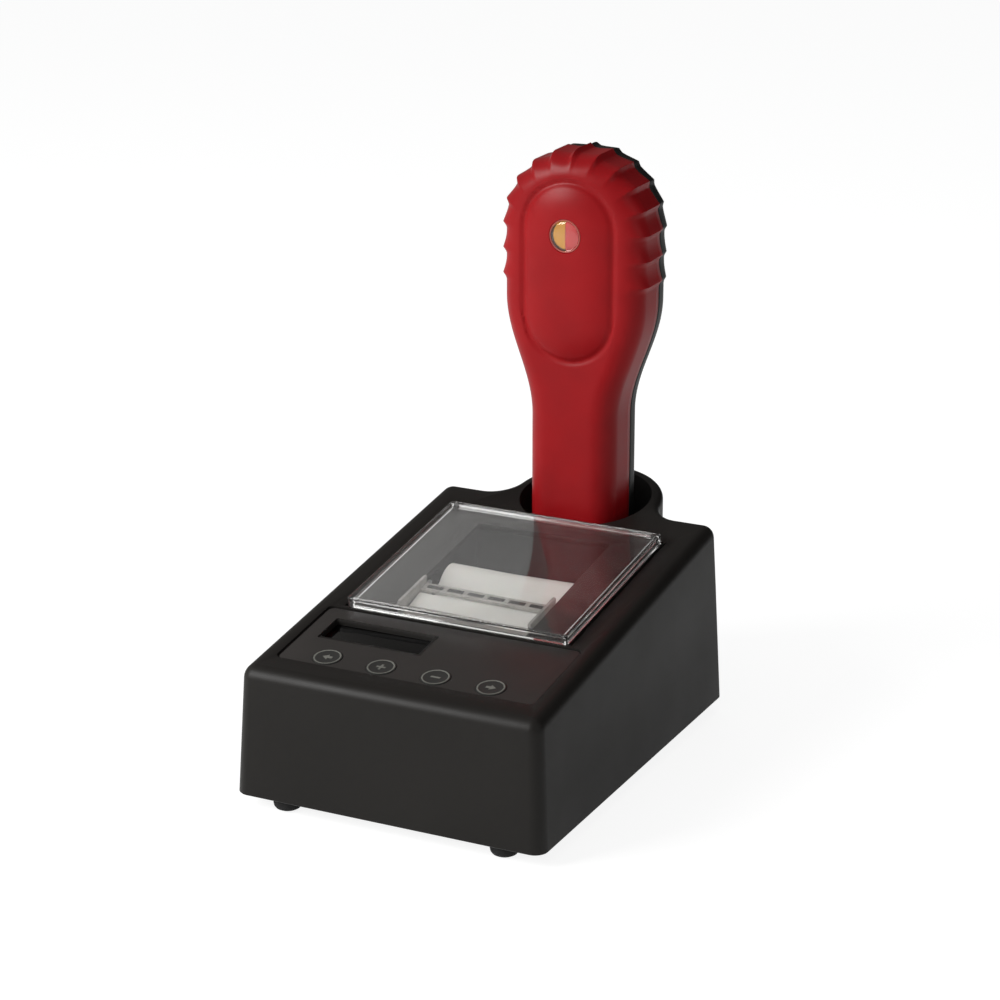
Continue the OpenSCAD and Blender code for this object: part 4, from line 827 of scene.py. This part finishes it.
def buildFrontShell():
    points, lifts = readerSection()
    outer, inner = shellRings(-1, reader["frontRadius"], points, lifts, 1.0)
    verts, faces = shellLoft(outer, inner, capped=False)
    count, rim = len(points), 64
    faceStart = (len(outer) - 1) * count  # the outer skin's last ring, where the face begins
    hole = reader["lensHole"]
    face = -reader["halfDepth"]

    edge = [Vector((x, z - reader["foot"])) for x, y, z in outer[-1]]
    lensHole = [Vector((hole * math.cos(a), reader["lensHeight"] + hole * math.sin(a))) for a in circle(rim)]
    lines = [(j, (j + 1) % count) for j in range(count)]
    lines += [(count + j, count + (j + 1) % rim) for j in range(rim)]
    made = delaunay_2d_cdt(edge + lensHole + faceGrid(hole), lines, [], 1, 1e-5)
    places, triangles, origins = made[0], made[2], made[3]
    index, rimIndex = {}, {}
    for k, place in enumerate(places):
        source = min(origins[k]) if origins[k] else -1
        if 0 <= source < count:
            index[k] = faceStart + source
        else:
            index[k] = len(verts)
            verts.append(readerPoint(place.x, face - padRise(place.x, place.y), place.y))
        for source in origins[k]:
            if count <= source < count + rim:
                rimIndex[source - count] = index[k]
    for triangle in triangles:  # all but those that would close the lens hole
        middle = sum((places[k] for k in triangle), Vector((0, 0))) / 3
        if math.hypot(middle.x, middle.y - reader["lensHeight"]) > hole:
            faces.append(tuple(index[k] for k in triangle))

    well = []
    r = hole - reader["wellInset"]
    for depth in reader["wellDepths"]:  # the lens sits in a short round well
        well.append(len(verts))
        verts += [readerPoint(r * math.cos(a), face - reader["padHeight"] + depth,
                              reader["lensHeight"] + r * math.sin(a)) for a in circle(rim)]
    for j in range(rim):
        after = (j + 1) % rim
        faces.append((rimIndex[j], rimIndex[after], well[0] + after, well[0] + j))
        faces.append((well[0] + j, well[0] + after, well[1] + after, well[1] + j))
    faces.append(tuple(well[1] + j for j in range(rim)))
    shell = newObject("readerFrontShell", verts, faces)
    finished(shell, "reader", absRed, ["reader_front_shell"], 50)


def buildRearShell():
    points, lifts = readerSection()
    outer, inner = shellRings(1, reader["backRadius"], points, lifts, reader["backRibs"])
    shell = newObject("readerRearShell", *shellLoft(outer, inner))
    finished(shell, "reader", absBack, ["reader_rear_shell"], 50)


buildFrontShell()
buildRearShell()
print("reader shells built")


# the lens: a clear dome in a pale ring, over a gold reflector half and a red lamp half
# heights count out from the pad's crest; ring and halves are given by (radius, height) pairs
lens = {"radius": 6.6, "rise": 1.2, "shoulder": -0.4, "foot": -1.1, "footEdge": 0.1,
        "ring": [(6.65, -1.2), (7.2, -1.2), (7.2, -0.35), (7.05, -0.12), (6.85, -0.1), (6.7, -0.25)],
        "halves": [(6.5, -2.4), (6.5, -2.0), (5.6, -1.6), (4.4, -1.35)], "halfGap": 0.08}


def lensPlace(a, b, c):
    return readerPoint(a, -reader["halfDepth"] - reader["padHeight"] - c, reader["lensHeight"] + b)


def buildLens():
    r, foot, shoulder, chamfer = lens["radius"], lens["foot"], lens["shoulder"], lens["footEdge"]
    profile = [(r - chamfer, foot), (r, foot + chamfer), (r, shoulder)]
    profile += [(r * math.cos(a), shoulder + lens["rise"] * math.sin(a)) for a in arc(9, 81, 8)]
    dome = newObject("readerLens", *turned(profile, 64, lensPlace))
    finished(dome, "reader", lensAcrylic, ["reader_lens"])
    ring = newObject("lensRing", *hoop(lens["ring"], 64, lensPlace))
    finished(ring, "reader", ringStyreneRedGlow)
    for name, start, side, material, slot in (("goldHalf", 90, -1, goldReflector, "cup_gold"),
                                              ("redHalf", -90, 1, redEpoxy, "lamp_epoxy")):
        shift = side * lens["halfGap"]
        rings = [[lensPlace(shift + q * math.cos(a), q * math.sin(a), w) for a in arc(start, start + 180, 24)]
                 for q, w in lens["halves"]]
        finished(newObject(name, *solidLoft(rings)), "reader", material)


buildLens()
print("lens built")


# paper and printer: V runs up the slope and W square out of it
printer = {"paper": 57.5, "paperThickness": 0.25, "rollV": 115.5, "rollW": -13.7, "rollRadius": 11.0,
           "coreRadius": 7.2, "rollEdge": 0.15, "platenV": 95.5, "platenW": -11.5, "platenRadius": 5.0,
           "gap": 0.1, "turnRadius": 1.2, "turnTop": -2.2, "endV": 79.8, "endW": -3.1, "droop": 1.6,
           "guideWidth": 59.6, "guideV": 91.1, "guideLength": 5.5, "guideLow": -2.68, "guideHigh": -1.5,
           "slots": 6, "slotWidth": 7.53, "slotLength": 2.8, "slotPitch": 9.53, "shadeLow": 0.6,
           "shadeHigh": 0.12, "wingV0": 72.0, "wingHigh": 1.6, "wingX": 29.3, "wingThick": 1.5}


def paperPath(g):
    # the loose paper's line at g through its thickness: off the roll, round the platen, up and to the front
    p = printer
    reach, bend = p["rollRadius"] + p["gap"] + p["paperThickness"] - g, p["platenRadius"] + p["gap"] + g
    dv, dw = p["rollV"] - p["platenV"], p["rollW"] - p["platenW"]
    radii = p["rollRadius"] + p["platenRadius"] + 2 * p["gap"] + p["paperThickness"]
    touch = math.atan2(dw, dv) - math.acos(radii / math.hypot(dv, dw))
    line = [(p["rollV"] - reach * math.cos(touch), p["rollW"] - reach * math.sin(touch))]
    line += [(p["platenV"] + bend * math.cos(a), p["platenW"] + bend * math.sin(a))
             for a in arc(math.degrees(touch), -180, 20)]
    turn, t = p["turnRadius"], p["paperThickness"]
    turnV, turnW = p["platenV"] - p["platenRadius"] - p["gap"] - t - turn, p["turnTop"] - turn - t
    over = turn + t - g
    line += [(turnV + over * math.cos(a), turnW + over * math.sin(a)) for a in arc(0, 90, 8)]
    v, w = line[-1]
    line += [(v + (p["endV"] - v) * k / 6, w + (p["endW"] - g - w) * (k / 6) ** p["droop"])
             for k in range(1, 7)]
    return line


def buildPrinter():
    p = printer
    h, r, core, edge = p["paper"] / 2, p["rollRadius"], p["coreRadius"] + 0.02, p["rollEdge"]
    profile = [(core, -h), (r - edge, -h)] + [(r, -h + edge + 2 * (h - edge) * k / 8) for k in range(9)]
    profile += [(r - edge, h), (core, h)]
    rollPlace = lambda a, b, c: onSlope(c, p["rollV"] + a, p["rollW"] + b)
    roll = newObject("paperRoll", *hoop(profile, 96, rollPlace))
    finished(roll, "roll", thermalPaper, ["paper_roll"], 30)

    outline = paperPath(0.0) + list(reversed(paperPath(p["paperThickness"])))
    columns = 48
    rings = [[onSlope(-h + 2 * h * i / columns, v, w) for v, w in outline] for i in range(columns + 1)]
    strip = newObject("paperStrip", *solidLoft(rings))
    finished(strip, "dock", thermalPaper, ["paper_strip"], 30)

    g0, g1 = p["guideV"], p["guideV"] + p["guideLength"]
    low, high, thick = p["guideLow"], p["guideHigh"], p["wingThick"]
    slot0, slot1 = (g0 + g1 - p["slotLength"]) / 2, (g0 + g1 + p["slotLength"]) / 2
    slotXs = [(i - (p["slots"] - 1) / 2) * p["slotPitch"] for i in range(p["slots"])]
    guide = newObject("paperGuide", *solidLoft(slopePlate(p["guideWidth"], g0, g1, low, high, 0.3, 0.2)))
    cut(guide, [slopeBlock("slot", (p["slotWidth"], slot0, slot1, -4, 0, 0.4), x) for x in slotXs])
    for side in (-1, 1):
        x = side * (p["wingX"] + thick / 2)
        rings = slopePlate(thick, p["wingV0"], g1 - faceGap, low + faceGap, p["wingHigh"], 0.4, 0.25, x)
        cut(guide, [newObject("wing", *solidLoft(rings))], "UNION")
    finished(guide, "dock", guideStyrene, ["paper_guide"], 30)
    # the slots look dark, as the printer below them is in the shade: a dark floor of painted shade stands in
    # for that
    shades = [slopeSolid(p["slotWidth"], slot0, slot1, high - p["shadeLow"], high - p["shadeHigh"], 0.4, x)
              for x in slotXs]
    finished(newObject("slotShadeFloor", *joined(shades)), "dock", absInsideAndSlotShade)


buildPrinter()
print("printer built")


# materials for the solids that stay as they are
kept = {"base_plate": absInsideAndSlotShade, "base_screws": zincSteel, "display_module": lcdGlass,
        "panel_board": resistLaminate, "panel_screws": zincSteel, "key_switches": epoxyBlack,
        "lid_hinge_pins": groundSteel, "roll_tub": absInsideAndSlotShade, "bay_screws": zincSteel,
        "printer_frame": zincSteel, "printer_bezel": paleStyrene, "platen_shaft": groundSteel,
        "platen_roller": platenRubber, "platen_gear": acetal, "idler_axle": groundSteel, "idler_gear": acetal,
        "feed_motor": motorCan, "motor_pinion": machinedBrass, "print_head": anodisedAluminium,
        "head_spring": groundSteel, "roll_spindle": absInsideAndSlotShade, "roll_core": cardboard,
        "main_board": resistLaminate, "board_parts": epoxyBlack, "board_screws": zincSteel,
        "power_inlet": epoxyBlack, "data_socket": epoxyBlack, "socket_cup": absInsideAndSlotShade,
        "contact_pins": goldPlate, "contact_barrels": zincSteel, "contact_board": resistLaminate,
        "seam_gasket": footRubber, "lamp_cup": goldReflector, "indicator_lamps": redEpoxy,
        "reader_board": resistLaminate, "pickup_coil": enamelledCopper, "sounder": epoxyBlack,
        "battery_cells": cellSleeve, "battery_clips": groundSteel, "foot_contacts": goldPlate,
        "reader_screws": zincSteel}
for node, material in kept.items():
    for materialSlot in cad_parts[node].material_slots:
        materialSlot.material = material
print("kept solids dressed")
